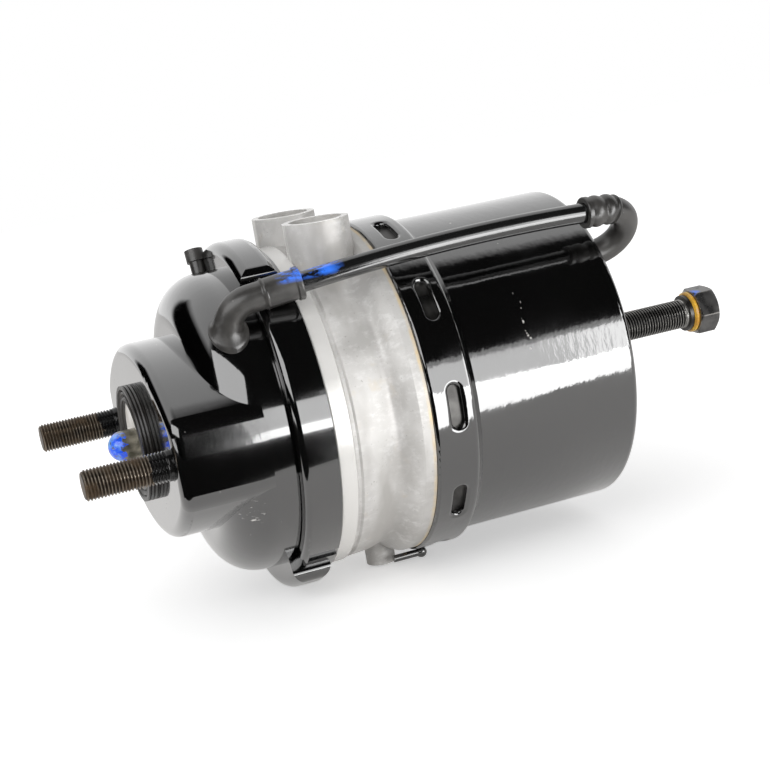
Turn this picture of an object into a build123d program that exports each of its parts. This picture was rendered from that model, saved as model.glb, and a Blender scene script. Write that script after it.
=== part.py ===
from build123d import *
from math import atan2, cos, hypot, radians, sin, tan
import os

# Air brake chamber for a truck disc brake: a service chamber and a spring brake on one axis.
#
# Frame: the chamber's axis is X. The mounting face is at x = 0 and the origin is the centre of
# the two studs. The push rod and the studs point to -X, the release bolt to +X, and the air
# ports to +Z. Angles about the axis are counted from the ports at the top towards -Y.
# The power spring is shown caged: the release bolt is wound out and holds the piston back.

os.makedirs("parts", exist_ok=True)

# ---- Driving sizes, mm ---------------------------------------------------------------------

# Fits and clearances
RUNNING_FIT = 0.05        # radial, round a piece that turns or slides in a bore
SEAT_GAP = 0.2            # between a moving or soft piece and what it rests on
STATIC_FIT = 0.1          # radial, round a piece that is assembled and stays put
CUT_MARGIN = 1.0          # a cut goes this far past the surface it opens
HEX_SIDES = 6

# Studs and push rod
STUD_SPACING = 120.65     # 4.75 in, the standard stud spacing of disc brake chambers
STUD_D = 14.0             # M14 x 1.5
STUD_REACH = 39.0         # from the mounting face to the stud's tip
STUD_TIP_CHAMFER = 1.2
STUD_SHOULDER_D = 15.0    # plain part in the housing wall
STUD_HEAD_D = 22.0
STUD_HEAD_THICK = 3.0
ROD_D = 14.4
ROD_REACH = 16.4          # ball tip in front of the mounting face, brake released

# Service housing, a deep-drawn steel cup
HOUSING_WALL = 2.8
SKIRT_R = 78.5            # skirt that grips the diaphragm and the flange
SKIRT_LENGTH = 17.0
SKIRT_EDGE = 3.0
SKIRT_END_X = 70.0
SKIRT_STEP = 6.5          # from the round body out to the skirt
SHOULDER_X = 21.0         # front of the round body, behind the mounting face
SHOULDER_ROUND = 21.0
NECK_STUD_EDGE = 5.7      # from a stud's outer side to the mounting face's round end
NECK_HALF_HEIGHT = 45.5
NECK_SIDE_R = 105.0       # the large arcs over and under the mounting face
NECK_CORNER = 13.0
NECK_EDGE = 5.0
NECK_BORE_R = 21.0        # opening for the push rod and its boot
LOBE_PROUD = 5.5          # rim bulges at the top and the bottom, outside the skirt
LOBE_OVERHANG = 3.5       # and in front of it
LOBE_LENGTH = 18.5
LOBE_HALF_ANGLE = 31.0
LOBE_EDGE = 5.0
NOTCH_GAP_ANGLE = 6.0     # shallow notches beside the rim bulges
NOTCH_WIDTH_ANGLE = 5.0
NOTCH_DEPTH = 1.6

# Front seal ring
SEAL_R = 27.6
SEAL_PROUD = 5.0
SEAL_LIP_DEPTH = 1.2
BOOT_WALL = 1.2           # dust boot inside the ring

# Intermediate flange, an aluminium casting
FLANGE_SEAT_DEPTH = 8.5   # how far its front rim stands inside the skirt
FLANGE_BAND_DROP = 1.3    # first band behind the skirt, under the skirt's radius
FLANGE_BAND_LENGTH = 8.0
FLANGE_GROOVE_LENGTH = 3.4
FLANGE_GROOVE_DEPTH = 1.8
FLANGE_BELLY_LENGTH = 9.6
FLANGE_WAIST_DROP = 4.4   # waist in front of the lip, under the spigot's radius
WAIST_ENTRY_SLOPE = 0.15
WAIST_EXIT_SLOPE = 0.25
FLANGE_LIP_LENGTH = 5.3
FLANGE_LIP_DROP = 1.3     # lip, under the crimped band's radius
SPIGOT_WALL = 9.0         # the spigot is the part inside the crimped band
SPIGOT_FIT = 0.5
BOWL_DEPTH = 14.5         # from the skirt's end to the web
WEB_THICK = 14.0
BOWL_R = 55.0
HUB_R = 27.0
HUB_LENGTH = 43.5
STEP_ROUND = 0.7
CAST_ROUND = 4.0

# Air ports
PORT_X = 93.5
PORT_HALF_SPACING = 26.2
PORT_PROUD = 10.5         # above the flange's spigot
PORT_BOSS_D = 31.0
PORT_SPOTFACE_D = 24.6
PORT_SPOTFACE_DEPTH = 3.5
PORT_THREAD_D = 14.5      # core of the M16 x 1.5 thread
PORT_DEPTH = 22.0
PASSAGE_D = 6.0
SERVICE_PASSAGE_TILT = 120.0  # degrees from straight up, towards the service side

# Vent boss under the flange
VENT_X = 105.0
VENT_BOSS_D = 14.5
VENT_PROUD = 8.8          # below the flange's spigot
VENT_BORE_D = 9.0
VENT_DEPTH = 8.0
VENT_PLUG_SINK = 1.5      # below the boss's face
VENT_KEY_R = 2.9          # corner radius of the plug's hexagon socket
VENT_KEY_DEPTH = 2.0

# Spring cylinder with its crimped band
CYLINDER_R = 77.5
CYLINDER_WALL = 3.0
CYLINDER_ROUND = 3.0
CYLINDER_END_X = 220.0
CAP_THICK = 3.5
BAND_STEP = 4.2           # from the cylinder out to the crimped band
BAND_FRONT_X = 115.3
BAND_LENGTH = 19.9
BAND_SLOPE = 4.0
SLOT_COUNT = 10
SLOT_SETBACK = 11.7       # slot centres, behind the band's front edge
SLOT_WIDTH = 5.8
SLOT_LENGTH = 19.5
SLOT_ROUND = 2.0          # rolled rim of each slot
BAND_FRONT_ROUND = 1.6
BAND_REAR_ROUND = 2.4
SLOT_FIRST_ANGLE = 18.0
LOCK_RING_WIDTH = 9.0
LOCK_RING_THICK = 2.2
FLANGE_SEAL_SETBACK = 1.9
FLANGE_SEAL_WIDTH = 3.6
FLANGE_SEAL_THICK = 2.6

# Piston and its tube
TUBE_R = 17.0
TUBE_BORE_R = 12.5
NOSE_THICK = 7.0
NOSE_CHAMFER = 1.5
NOSE_SPIGOT_LENGTH = 6.0
TUBE_COLLAR_R = 20.0      # collar in front of the piston
TUBE_COLLAR_LENGTH = 3.0
PISTON_X = 176.0
PISTON_LENGTH = 14.0
PISTON_WEB = 5.0
PISTON_RIM = 5.0
PISTON_CLEARANCE = 0.3
PISTON_SEAL_WIDTH = 4.5
PISTON_SEAL_DEPTH = 3.2
RETAINER_THICK = 8.0
RETAINER_SETBACK = 3.5    # behind the piston's front face
RETAINER_CLEARANCE = 0.6
O_RING_D = 3.5
O_RING_PLAY = 0.8         # width its groove has to spare
O_RING_SIDES = 10
O_RING_X = 102.0
GUIDE_RING_X = 109.0
GUIDE_RING_WIDTH = 9.0
GUIDE_RING_THICK = 1.8

# Springs
RETURN_WIRE_D = 4.0
RETURN_COIL_R = 27.0
RETURN_TURNS = 4.0
RETURN_WIRE_SIDES = 6
POWER_WIRE_D = 11.0
POWER_COIL_R = 61.5
POWER_TURNS = 2.5
POWER_WIRE_SIDES = 8
POWER_CONE = 32.0         # degrees; the coils nest in one another when caged

# Diaphragm and push plate
DIAPHRAGM_THICK = 3.0
DIAPHRAGM_BEAD = 4.6
PLATE_R = 40.0            # passes into the neck of the housing at full stroke
PLATE_THICK = 3.6
PLATE_HUB_R = 13.0
PLATE_HUB_LENGTH = 10.0

# Release bolt, M15 x 1.5 with a 22 mm hexagon
BOLT_D = 15.0
BOLT_END_PLAY = 0.9       # between the bolt's inner collar, the washer and the retainer
BOLT_HEAD_X = 294.0
BOLT_HEAD_THICK = 11.0
BOLT_HEAD_TURN = 6.0      # how the hexagon stands, from a corner on the horizontal plane
BOLT_HEX_AF = 22.0
BOLT_END_COLLAR_D = 22.0
BOLT_END_COLLAR_THICK = 5.0
WASHER_THICK = 1.6
SEAL_WASHER_D = 21.0
SEAL_WASHER_THICK = 2.8
SEAL_WASHER_EDGE = 0.8
HEAD_COLLAR_D = 18.6
HEAD_COLLAR_THICK = 2.0
NUT_R = 15.0
NUT_FLANGE_R = 20.0
NUT_FLANGE_THICK = 4.5
NUT_PROUD = 9.5
NUT_CHAMFER = 1.5

# Breather line
PIPE_ANGLE = 41.7         # the pipe runs along the chamber on the near upper side
SLEEVE_CLEARANCE = 2.4    # between the skirt and the front elbow's mouth
PIPE_REAR_STANDOFF = 12.9  # from the crimped band's radius to the pipe's axis, at the rear mouth
PIPE_BOW = 3.9            # the pipe is bowed outwards between its mouths
PIPE_D = 9.4
PIPE_BORE_D = 6.8
PIPE_FRONT_SEAT = 16.0    # how far the pipe enters each elbow
PIPE_REAR_SEAT = 6.0
ELBOW_D = 13.0
ELBOW_BEAD_D = 15.0
ELBOW_BEAD_LENGTH = 2.4
FRONT_LEG_X = 38.0
FRONT_LEG_ANGLE = 46.0    # where the front elbow stands on the housing
FRONT_BEND_R = 12.5
FRONT_MOUTH_X = 72.5
FRONT_FOOT_D = 18.0
FRONT_FOOT_LENGTH = 5.0
REAR_MOUTH_X = 210.5
REAR_BEND_GAP = 0.8       # from the end cap to the end of the rear elbow's bend
REAR_END_INSET = 13.15    # from the cylinder's side to the spigot in the end cap
SPIGOT_TUBE_D = 8.8
SPIGOT_TUBE_BORE_D = 5.6
SPIGOT_TUBE_SEAT = 5.0    # how far each spigot enters its elbow

# Small breather plug on the far side of the housing
PLUG_X = 47.0
PLUG_ANGLE = -20.0
PLUG_D = 7.0
PLUG_HEAD_D = 9.0
PLUG_PROUD = 13.0         # above the round body
PLUG_HEAD_LENGTH = 6.0

# Bent end of the locking ring, under the flange
WIRE_D = 3.6
WIRE_Y = -13.0
WIRE_KNOB_D = 5.6
WIRE_OVERHANG = 7.8       # in front of the band
WIRE_RETURN = 6.7         # along the band, to the knob

# ---- Sizes worked out from the driving sizes -------------------------------------------------

STUD_HEAD_X = HOUSING_WALL
BODY_R = SKIRT_R - SKIRT_STEP
NECK_END_R = STUD_SPACING / 2 + STUD_D / 2 + NECK_STUD_EDGE
SKIRT_FRONT_X = SKIRT_END_X - SKIRT_LENGTH
SKIRT_INNER_R = SKIRT_R - HOUSING_WALL
SKIRT_INNER_X = SKIRT_FRONT_X + HOUSING_WALL
LOBE_R = SKIRT_R + LOBE_PROUD
LOBE_FRONT_X = SKIRT_FRONT_X - LOBE_OVERHANG
NOTCH_ANGLE = LOBE_HALF_ANGLE + NOTCH_GAP_ANGLE + NOTCH_WIDTH_ANGLE / 2
BAND_R = CYLINDER_R + BAND_STEP
BAND_INNER_R = BAND_R - CYLINDER_WALL
BAND_END_X = BAND_FRONT_X + BAND_LENGTH
SLOT_X = BAND_FRONT_X + SLOT_SETBACK
LOCK_RING_X = SLOT_X - LOCK_RING_WIDTH / 2
FLANGE_SEAL_X = BAND_FRONT_X + FLANGE_SEAL_SETBACK
CYLINDER_INNER_R = CYLINDER_R - CYLINDER_WALL
CAP_INNER_X = CYLINDER_END_X - CAP_THICK
RETAINER_X = PISTON_X + RETAINER_SETBACK
BOLT_INNER_X = RETAINER_X - BOLT_END_PLAY - WASHER_THICK - BOLT_END_COLLAR_THICK
SPIGOT_R = BAND_INNER_R - SPIGOT_FIT
FLANGE_FRONT_X = SKIRT_END_X - FLANGE_SEAT_DEPTH
WEB_FRONT_X = SKIRT_END_X + BOWL_DEPTH
PORT_TOP_Z = SPIGOT_R + PORT_PROUD
VENT_BOTTOM_Z = -SPIGOT_R - VENT_PROUD
DIAPHRAGM_X = WEB_FRONT_X - SEAT_GAP - DIAPHRAGM_THICK
PLATE_X = DIAPHRAGM_X - SEAT_GAP - PLATE_THICK
PISTON_R = CYLINDER_INNER_R - PISTON_CLEARANCE
PISTON_WEB_BACK_X = PISTON_X + PISTON_WEB
NUT_END_X = CYLINDER_END_X + NUT_PROUD
SEAL_WASHER_X = BOLT_HEAD_X - SEAL_WASHER_THICK
HEAD_COLLAR_X = SEAL_WASHER_X - HEAD_COLLAR_THICK

# Breather line, drawn in the plane through the chamber's axis at the pipe's angle: X, radius
PIPE_PLANE = Plane(origin=(0, 0, 0), x_dir=(1, 0, 0),
                   z_dir=(0, -cos(radians(PIPE_ANGLE)), -sin(radians(PIPE_ANGLE))))
FRONT_MOUTH_R = SKIRT_R + SLEEVE_CLEARANCE + ELBOW_BEAD_D / 2
REAR_MOUTH_R = BAND_R + PIPE_REAR_STANDOFF
with BuildLine(PIPE_PLANE) as pipe_bow:
    SagittaArc((FRONT_MOUTH_X, FRONT_MOUTH_R), (REAR_MOUTH_X, REAR_MOUTH_R), PIPE_BOW)
FRONT_MOUTH, FRONT_HEADING = pipe_bow.line @ 0, pipe_bow.line % 0
REAR_MOUTH, REAR_HEADING = pipe_bow.line @ 1, pipe_bow.line % 1
FRONT_MOUTH_PLANE = Plane(origin=FRONT_MOUTH, z_dir=FRONT_HEADING)
REAR_MOUTH_PLANE = Plane(origin=REAR_MOUTH, z_dir=REAR_HEADING)
REAR_END_X = CYLINDER_END_X + REAR_BEND_GAP
REAR_END_R = CYLINDER_R - REAR_END_INSET
REAR_END = PIPE_PLANE.from_local_coords(Vector(REAR_END_X, REAR_END_R, 0))

# The front elbow's leg stands on the housing and leans at the line of the pipe's mouth
FOOT = Vector(FRONT_LEG_X, -BODY_R * sin(radians(FRONT_LEG_ANGLE)), BODY_R * cos(radians(FRONT_LEG_ANGLE)))
ELBOW_CORNER = FRONT_MOUTH - FRONT_HEADING * ((FRONT_MOUTH_X - FRONT_LEG_X) / FRONT_HEADING.X)
LEG_DIRECTION = (ELBOW_CORNER - FOOT).normalized()
FOOT_PLANE = Plane(origin=FOOT, x_dir=(1, 0, 0), z_dir=LEG_DIRECTION)


def from_axis(point):
    """Distance of a point from the chamber's axis."""
    return hypot(point.Y, point.Z)


def about_axis(angle, radius):
    """Y and Z of a point at an angle from the top, counted towards -Y, and a radius."""
    return -radius * sin(radians(angle)), radius * cos(radians(angle))


def outward(angle, x, radius=0):
    """Plane whose Z points away from the axis, and whose X runs round the axis."""
    y, z = about_axis(angle, radius)
    dy, dz = about_axis(angle, 1)
    return Plane(origin=(x, y, z), x_dir=(0, -dz, dy), z_dir=(0, dy, dz))


def turned(*points):
    """Outline of (x, radius) points, ready to be turned about the chamber's axis."""
    with BuildSketch(Plane.XY, mode=Mode.PRIVATE) as outline:
        with BuildLine():
            Polyline(*points, close=True)
        make_face()
    return outline.sketch


def ring(start_x, end_x, inner_r, outer_r):
    """Outline of a plain ring about the chamber's axis."""
    return turned((start_x, inner_r), (end_x, inner_r), (end_x, outer_r), (start_x, outer_r))


def disc(start_x, end_x, radius):
    """Outline of a plain disc on the chamber's axis."""
    return ring(start_x, end_x, 0, radius)


# ---- Service housing -------------------------------------------------------------------------

def neck_outline(inset):
    """The raised mounting face: round ends beyond the studs, large arcs above and below."""
    arc_drop = NECK_SIDE_R - NECK_HALF_HEIGHT
    with BuildSketch(mode=Mode.PRIVATE) as outline:
        Circle(NECK_END_R - inset)
        with Locations((0, -arc_drop)):
            Circle(NECK_SIDE_R - inset, mode=Mode.INTERSECT)
        with Locations((0, arc_drop)):
            Circle(NECK_SIDE_R - inset, mode=Mode.INTERSECT)
        fillet(outline.vertices(), NECK_CORNER - inset)
    return outline.sketch


def body_outline(inset):
    """Half section of the round body, with its large front shoulder."""
    front = SHOULDER_X + inset
    radius = BODY_R - inset
    corner = SHOULDER_ROUND - inset
    with BuildSketch(Plane.XY, mode=Mode.PRIVATE) as outline:
        with BuildLine():
            face = Line((front, 0), (front, radius - corner))
            shoulder = JernArc(face @ 1, (0, 1), corner, -90)
            side = Line(shoulder @ 1, (SKIRT_END_X, radius))
            Line(side @ 1, (SKIRT_END_X, 0))
            Line((SKIRT_END_X, 0), face @ 0)
        make_face()
    return outline.sketch


def housing_form(inset):
    """Solid form of the drawn cup; an inset of one wall thickness gives its inside."""
    with BuildPart(mode=Mode.PRIVATE) as form:
        with BuildSketch(Plane.YZ.offset(inset)):
            add(neck_outline(inset))
        extrude(amount=SHOULDER_X + SHOULDER_ROUND - inset)
        fillet(form.faces().sort_by(Axis.X)[0].edges(), NECK_EDGE - inset)
        revolve(body_outline(inset), axis=Axis.X)
    return form.part


def rim_bulge(angle):
    """Rounded bulge on the skirt, centred at an angle from the top."""
    start = Plane.XY.rotated((90 + angle - LOBE_HALF_ANGLE, 0, 0))
    section = ring(LOBE_FRONT_X, LOBE_FRONT_X + LOBE_LENGTH, BODY_R - HOUSING_WALL / 2, LOBE_R)
    with BuildPart(mode=Mode.PRIVATE) as bulge:
        revolve(start * section, axis=Axis.X, revolution_arc=2 * LOBE_HALF_ANGLE)
        outer_face = bulge.faces().filter_by(GeomType.CYLINDER).sort_by(SortBy.AREA)[-1]
        fillet(outer_face.edges(), LOBE_EDGE)
    return bulge.part


with BuildPart() as service_housing:
    add(housing_form(0))
    # Skirt that grips the diaphragm and the flange
    revolve(ring(SKIRT_FRONT_X, SKIRT_END_X, SKIRT_INNER_R - HOUSING_WALL, SKIRT_R), axis=Axis.X)
    skirt_edge = service_housing.edges().filter_by(GeomType.CIRCLE).filter_by(
        lambda edge: abs(edge.radius - SKIRT_R) < 0.01 and abs(edge.center().X - SKIRT_FRONT_X) < 0.01)
    fillet(skirt_edge, SKIRT_EDGE)
    for notch_angle in (NOTCH_ANGLE, -NOTCH_ANGLE, 180 - NOTCH_ANGLE, 180 + NOTCH_ANGLE):
        start = Plane.XY.rotated((90 + notch_angle - NOTCH_WIDTH_ANGLE / 2, 0, 0))
        notch = ring(SKIRT_INNER_X, SKIRT_END_X, SKIRT_R - NOTCH_DEPTH, LOBE_R)
        revolve(start * notch, axis=Axis.X, revolution_arc=NOTCH_WIDTH_ANGLE, mode=Mode.SUBTRACT)
    add(housing_form(HOUSING_WALL), mode=Mode.SUBTRACT)
    revolve(disc(SKIRT_INNER_X, SKIRT_END_X, SKIRT_INNER_R), axis=Axis.X, mode=Mode.SUBTRACT)
    # Rim bulges at the top and the bottom
    for bulge_angle in (0, 180):
        add(rim_bulge(bulge_angle))
    revolve(disc(SKIRT_INNER_X, SKIRT_END_X, SKIRT_INNER_R), axis=Axis.X, mode=Mode.SUBTRACT)
    # Openings: push rod, studs, breather plug and the front elbow's spigot
    with BuildSketch(Plane.YZ):
        Circle(NECK_BORE_R)
        with Locations((-STUD_SPACING / 2, 0), (STUD_SPACING / 2, 0)):
            Circle(STUD_SHOULDER_D / 2)
    extrude(amount=HOUSING_WALL + STATIC_FIT, mode=Mode.SUBTRACT)
    with BuildSketch(outward(PLUG_ANGLE, PLUG_X, BODY_R - 2 * HOUSING_WALL)):
        Circle(PLUG_D / 2)
    extrude(amount=2 * HOUSING_WALL, mode=Mode.SUBTRACT)
    with BuildSketch(outward(PLUG_ANGLE, PLUG_X, BODY_R)):
        Circle(PLUG_HEAD_D / 2 + STATIC_FIT)
    extrude(amount=LOBE_R - BODY_R, mode=Mode.SUBTRACT)
    with BuildSketch(FOOT_PLANE):
        Circle(SPIGOT_TUBE_D / 2)
    extrude(amount=FRONT_FOOT_LENGTH, both=True, mode=Mode.SUBTRACT)

service_housing.part.label = "service_housing"
export_step(service_housing.part, "parts/service_housing.step")

# ---- Studs, push rod and the service side ----------------------------------------------------

def stud_heads():
    """Flat heads inside the housing, cut to its inner wall so that they cannot turn."""
    with BuildPart(mode=Mode.PRIVATE) as heads:
        with BuildSketch(Plane.YZ.offset(STUD_HEAD_X)):
            with Locations((-STUD_SPACING / 2, 0), (STUD_SPACING / 2, 0)):
                Circle(STUD_HEAD_D / 2)
        extrude(amount=STUD_HEAD_THICK)
        add(housing_form(HOUSING_WALL + STATIC_FIT), mode=Mode.INTERSECT)
    return heads.part


with BuildPart() as mounting_studs:
    for start_x, length, diameter in (
            (-STUD_REACH, STUD_REACH, STUD_D), (0, STUD_HEAD_X + STATIC_FIT, STUD_SHOULDER_D)):
        with BuildSketch(Plane.YZ.offset(start_x)):
            with Locations((-STUD_SPACING / 2, 0), (STUD_SPACING / 2, 0)):
                Circle(diameter / 2)
        extrude(amount=length)
    add(stud_heads())
    stud_tips = mounting_studs.faces().filter_by(Axis.X).group_by(Axis.X)[0]
    chamfer(stud_tips.edges(), STUD_TIP_CHAMFER)

mounting_studs.part.label = "mounting_studs"
export_step(mounting_studs.part, "parts/mounting_studs.step")


with BuildPart() as front_seal_ring:
    lip_pitch = (SEAL_R - NECK_BORE_R) / 4
    revolve(turned(
        (0, NECK_BORE_R), (0, SEAL_R), (-SEAL_PROUD, SEAL_R),
        (-SEAL_PROUD, SEAL_R - lip_pitch), (-SEAL_PROUD + SEAL_LIP_DEPTH, SEAL_R - 1.5 * lip_pitch),
        (-SEAL_PROUD, SEAL_R - 2 * lip_pitch), (-SEAL_PROUD + SEAL_LIP_DEPTH, SEAL_R - 3 * lip_pitch),
        (-SEAL_PROUD, NECK_BORE_R)), axis=Axis.X)

front_seal_ring.part.label = "front_seal_ring"
export_step(front_seal_ring.part, "parts/front_seal_ring.step")


with BuildPart() as push_rod:
    ball_x = -ROD_REACH + ROD_D / 2
    with BuildSketch(Plane.XY):
        with BuildLine():
            nose = CenterArc((ball_x, 0), ROD_D / 2, 90, 90)
            Polyline(nose @ 0, (PLATE_X, ROD_D / 2), (PLATE_X, 0), nose @ 1)
        make_face()
    revolve(axis=Axis.X)

push_rod.part.label = "push_rod"
export_step(push_rod.part, "parts/push_rod.step")


with BuildPart() as push_plate:
    hub_x = PLATE_X - PLATE_HUB_LENGTH
    rod_socket_r = ROD_D / 2 + STATIC_FIT
    revolve(turned(
        (PLATE_X, 0), (PLATE_X, rod_socket_r), (hub_x, rod_socket_r), (hub_x, PLATE_HUB_R),
        (PLATE_X, PLATE_HUB_R), (PLATE_X, PLATE_R - PLATE_THICK), (PLATE_X - PLATE_THICK, PLATE_R),
        (PLATE_X, PLATE_R), (PLATE_X + PLATE_THICK, PLATE_R - PLATE_THICK),
        (PLATE_X + PLATE_THICK, 0)), axis=Axis.X)

push_plate.part.label = "push_plate"
export_step(push_plate.part, "parts/push_plate.step")


with BuildPart() as dust_boot:
    # Thin bell from the mouth of the housing to a grip on the push rod
    mouth_r = NECK_BORE_R - SEAT_GAP
    grip_r = ROD_D / 2 + RUNNING_FIT
    revolve(turned(
        (HOUSING_WALL, mouth_r), (-SEAL_PROUD / 2, mouth_r), (-SEAL_PROUD / 2, grip_r),
        (SEAL_PROUD / 2, grip_r), (SEAL_PROUD / 2, grip_r + BOOT_WALL),
        (-SEAL_PROUD / 2 + BOOT_WALL, grip_r + BOOT_WALL),
        (-SEAL_PROUD / 2 + BOOT_WALL, mouth_r - BOOT_WALL), (HOUSING_WALL, mouth_r - BOOT_WALL)),
        axis=Axis.X)

dust_boot.part.label = "dust_boot"
export_step(dust_boot.part, "parts/dust_boot.step")


with BuildPart() as return_spring:
    return_start_x = HOUSING_WALL + SEAT_GAP + RETURN_WIRE_D / 2
    return_end_x = PLATE_X - SEAT_GAP - RETURN_WIRE_D / 2
    return_height = return_end_x - return_start_x
    with BuildLine() as return_path:
        Helix(return_height / RETURN_TURNS, return_height, RETURN_COIL_R,
              center=(return_start_x, 0, 0), direction=(1, 0, 0))
    with BuildSketch(return_path.line ^ 0):
        RegularPolygon(RETURN_WIRE_D / 2, RETURN_WIRE_SIDES)
    sweep(path=return_path.line, is_frenet=True)

return_spring.part.label = "return_spring"
export_step(return_spring.part, "parts/return_spring.step")


with BuildPart() as diaphragm:
    # Moulded in its rest shape: bead at the rim, wall along the bowl, flat middle
    wall_r = SKIRT_INNER_R - STATIC_FIT - DIAPHRAGM_BEAD
    bead_x = SKIRT_INNER_X + STATIC_FIT
    bead_end_x = FLANGE_FRONT_X - STATIC_FIT
    revolve(turned(
        (DIAPHRAGM_X, 0), (DIAPHRAGM_X, BOWL_R - 2 * DIAPHRAGM_THICK),
        (FLANGE_FRONT_X, wall_r - 2 * DIAPHRAGM_THICK), (bead_x, wall_r - DIAPHRAGM_THICK),
        (bead_x, SKIRT_INNER_R - STATIC_FIT), (bead_end_x, SKIRT_INNER_R - STATIC_FIT),
        (bead_end_x, wall_r - DIAPHRAGM_THICK / 2),
        (WEB_FRONT_X - SEAT_GAP, BOWL_R - DIAPHRAGM_THICK), (WEB_FRONT_X - SEAT_GAP, 0)),
        axis=Axis.X)

diaphragm.part.label = "diaphragm"
export_step(diaphragm.part, "parts/diaphragm.step")


# ---- Intermediate flange ---------------------------------------------------------------------

with BuildPart() as flange_body:
    web_back_x = WEB_FRONT_X + WEB_THICK
    hub_end_x = WEB_FRONT_X + HUB_LENGTH
    band_x = SKIRT_END_X + SEAT_GAP
    band_r = SKIRT_R - FLANGE_BAND_DROP
    groove_start_x = band_x + FLANGE_BAND_LENGTH
    groove_floor_r = band_r - FLANGE_GROOVE_DEPTH
    belly_x = groove_start_x + FLANGE_GROOVE_LENGTH
    belly_r = band_r - FLANGE_GROOVE_DEPTH / 2
    belly_end_x = belly_x + FLANGE_BELLY_LENGTH
    waist_r = SPIGOT_R - FLANGE_WAIST_DROP
    lip_r = BAND_R - FLANGE_LIP_DROP
    lip_end_x = BAND_FRONT_X - STATIC_FIT
    lip_x = lip_end_x - FLANGE_LIP_LENGTH
    spigot_end_x = BAND_END_X - STATIC_FIT
    spigot_inner_r = SPIGOT_R - SPIGOT_WALL
    front_rim_r = SKIRT_INNER_R - STATIC_FIT
    bowl_rim_r = front_rim_r - DIAPHRAGM_BEAD
    with BuildSketch(Plane.XY) as flange_section:
        with BuildLine():
            outer = Polyline(
                (FLANGE_FRONT_X, bowl_rim_r), (FLANGE_FRONT_X, front_rim_r), (band_x, front_rim_r),
                (band_x, band_r - STEP_ROUND), (band_x + STEP_ROUND, band_r), (groove_start_x, band_r),
                (groove_start_x + FLANGE_GROOVE_DEPTH / 2, groove_floor_r),
                (belly_x - FLANGE_GROOVE_DEPTH / 2, groove_floor_r),
                (belly_x, belly_r), (belly_end_x, belly_r - STEP_ROUND))
            waist = Spline(
                outer @ 1, ((belly_end_x + lip_x) / 2, waist_r), (lip_x, lip_r),
                tangents=((1, -WAIST_ENTRY_SLOPE), (1, WAIST_EXIT_SLOPE)))
            Polyline(
                waist @ 1, (lip_end_x, lip_r), (lip_end_x, SPIGOT_R),
                (spigot_end_x, SPIGOT_R), (spigot_end_x, spigot_inner_r),
                (web_back_x + CAST_ROUND, spigot_inner_r), (web_back_x, spigot_inner_r - CAST_ROUND),
                (web_back_x, HUB_R + CAST_ROUND), (web_back_x + CAST_ROUND, HUB_R), (hub_end_x, HUB_R),
                (hub_end_x, TUBE_R + RUNNING_FIT), (WEB_FRONT_X, TUBE_R + RUNNING_FIT),
                (WEB_FRONT_X, BOWL_R), outer @ 0)
        make_face()
    revolve(axis=Axis.X)
    # Grooves: tube O-ring and guide ring in the hub, flange seal and locking ring outside
    hub_groove_r = TUBE_R + O_RING_D
    revolve(ring(O_RING_X, O_RING_X + O_RING_D + O_RING_PLAY, TUBE_R, hub_groove_r), axis=Axis.X,
            mode=Mode.SUBTRACT)
    guide_groove_r = TUBE_R + GUIDE_RING_THICK + STATIC_FIT
    revolve(ring(GUIDE_RING_X, GUIDE_RING_X + GUIDE_RING_WIDTH, TUBE_R, guide_groove_r), axis=Axis.X,
            mode=Mode.SUBTRACT)
    revolve(ring(FLANGE_SEAL_X, FLANGE_SEAL_X + FLANGE_SEAL_WIDTH, SPIGOT_R - FLANGE_SEAL_THICK, BAND_R),
            axis=Axis.X, mode=Mode.SUBTRACT)
    revolve(ring(LOCK_RING_X, LOCK_RING_X + LOCK_RING_WIDTH, SPIGOT_R - LOCK_RING_THICK, BAND_R),
            axis=Axis.X, mode=Mode.SUBTRACT)
    # Port bosses, and the vent boss underneath
    boss_foot_z = PORT_TOP_Z - PORT_DEPTH - PASSAGE_D
    with BuildSketch(Plane.XY.offset(boss_foot_z)):
        with Locations((PORT_X, -PORT_HALF_SPACING), (PORT_X, PORT_HALF_SPACING)):
            Circle(PORT_BOSS_D / 2)
    extrude(amount=PORT_TOP_Z - boss_foot_z)
    with BuildSketch(Plane.XY.offset(VENT_BOTTOM_Z)):
        with Locations((VENT_X, 0)):
            Circle(VENT_BOSS_D / 2)
    extrude(amount=VENT_PROUD + SPIGOT_WALL / 2)
    # Port bores and their passages: one to the service side, one to the spring side
    port_bottom_z = PORT_TOP_Z - PORT_DEPTH
    for bore_d, bore_depth in ((PORT_SPOTFACE_D, PORT_SPOTFACE_DEPTH), (PORT_THREAD_D, PORT_DEPTH)):
        with BuildSketch(Plane.XY.offset(PORT_TOP_Z)):
            with Locations((PORT_X, -PORT_HALF_SPACING), (PORT_X, PORT_HALF_SPACING)):
                Circle(bore_d / 2)
        extrude(amount=-bore_depth, mode=Mode.SUBTRACT)
    passage_z = port_bottom_z + PASSAGE_D / 2
    with Locations((PORT_X, PORT_HALF_SPACING, passage_z)):
        Cylinder(PASSAGE_D / 2, BAND_END_X - PORT_X, rotation=(0, 90, 0),
                 align=(Align.CENTER, Align.CENTER, Align.MIN), mode=Mode.SUBTRACT)
    with Locations(Location((PORT_X, -PORT_HALF_SPACING, passage_z), (0, -SERVICE_PASSAGE_TILT, 0))):
        Cylinder(PASSAGE_D / 2, BAND_END_X - PORT_X,
                 align=(Align.CENTER, Align.CENTER, Align.MIN), mode=Mode.SUBTRACT)
    with BuildSketch(Plane.XY.offset(VENT_BOTTOM_Z)):
        with Locations((VENT_X, 0)):
            Circle(VENT_BORE_D / 2)
    extrude(amount=VENT_DEPTH, mode=Mode.SUBTRACT)

flange_body.part.label = "flange_body"
export_step(flange_body.part, "parts/flange_body.step")


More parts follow.
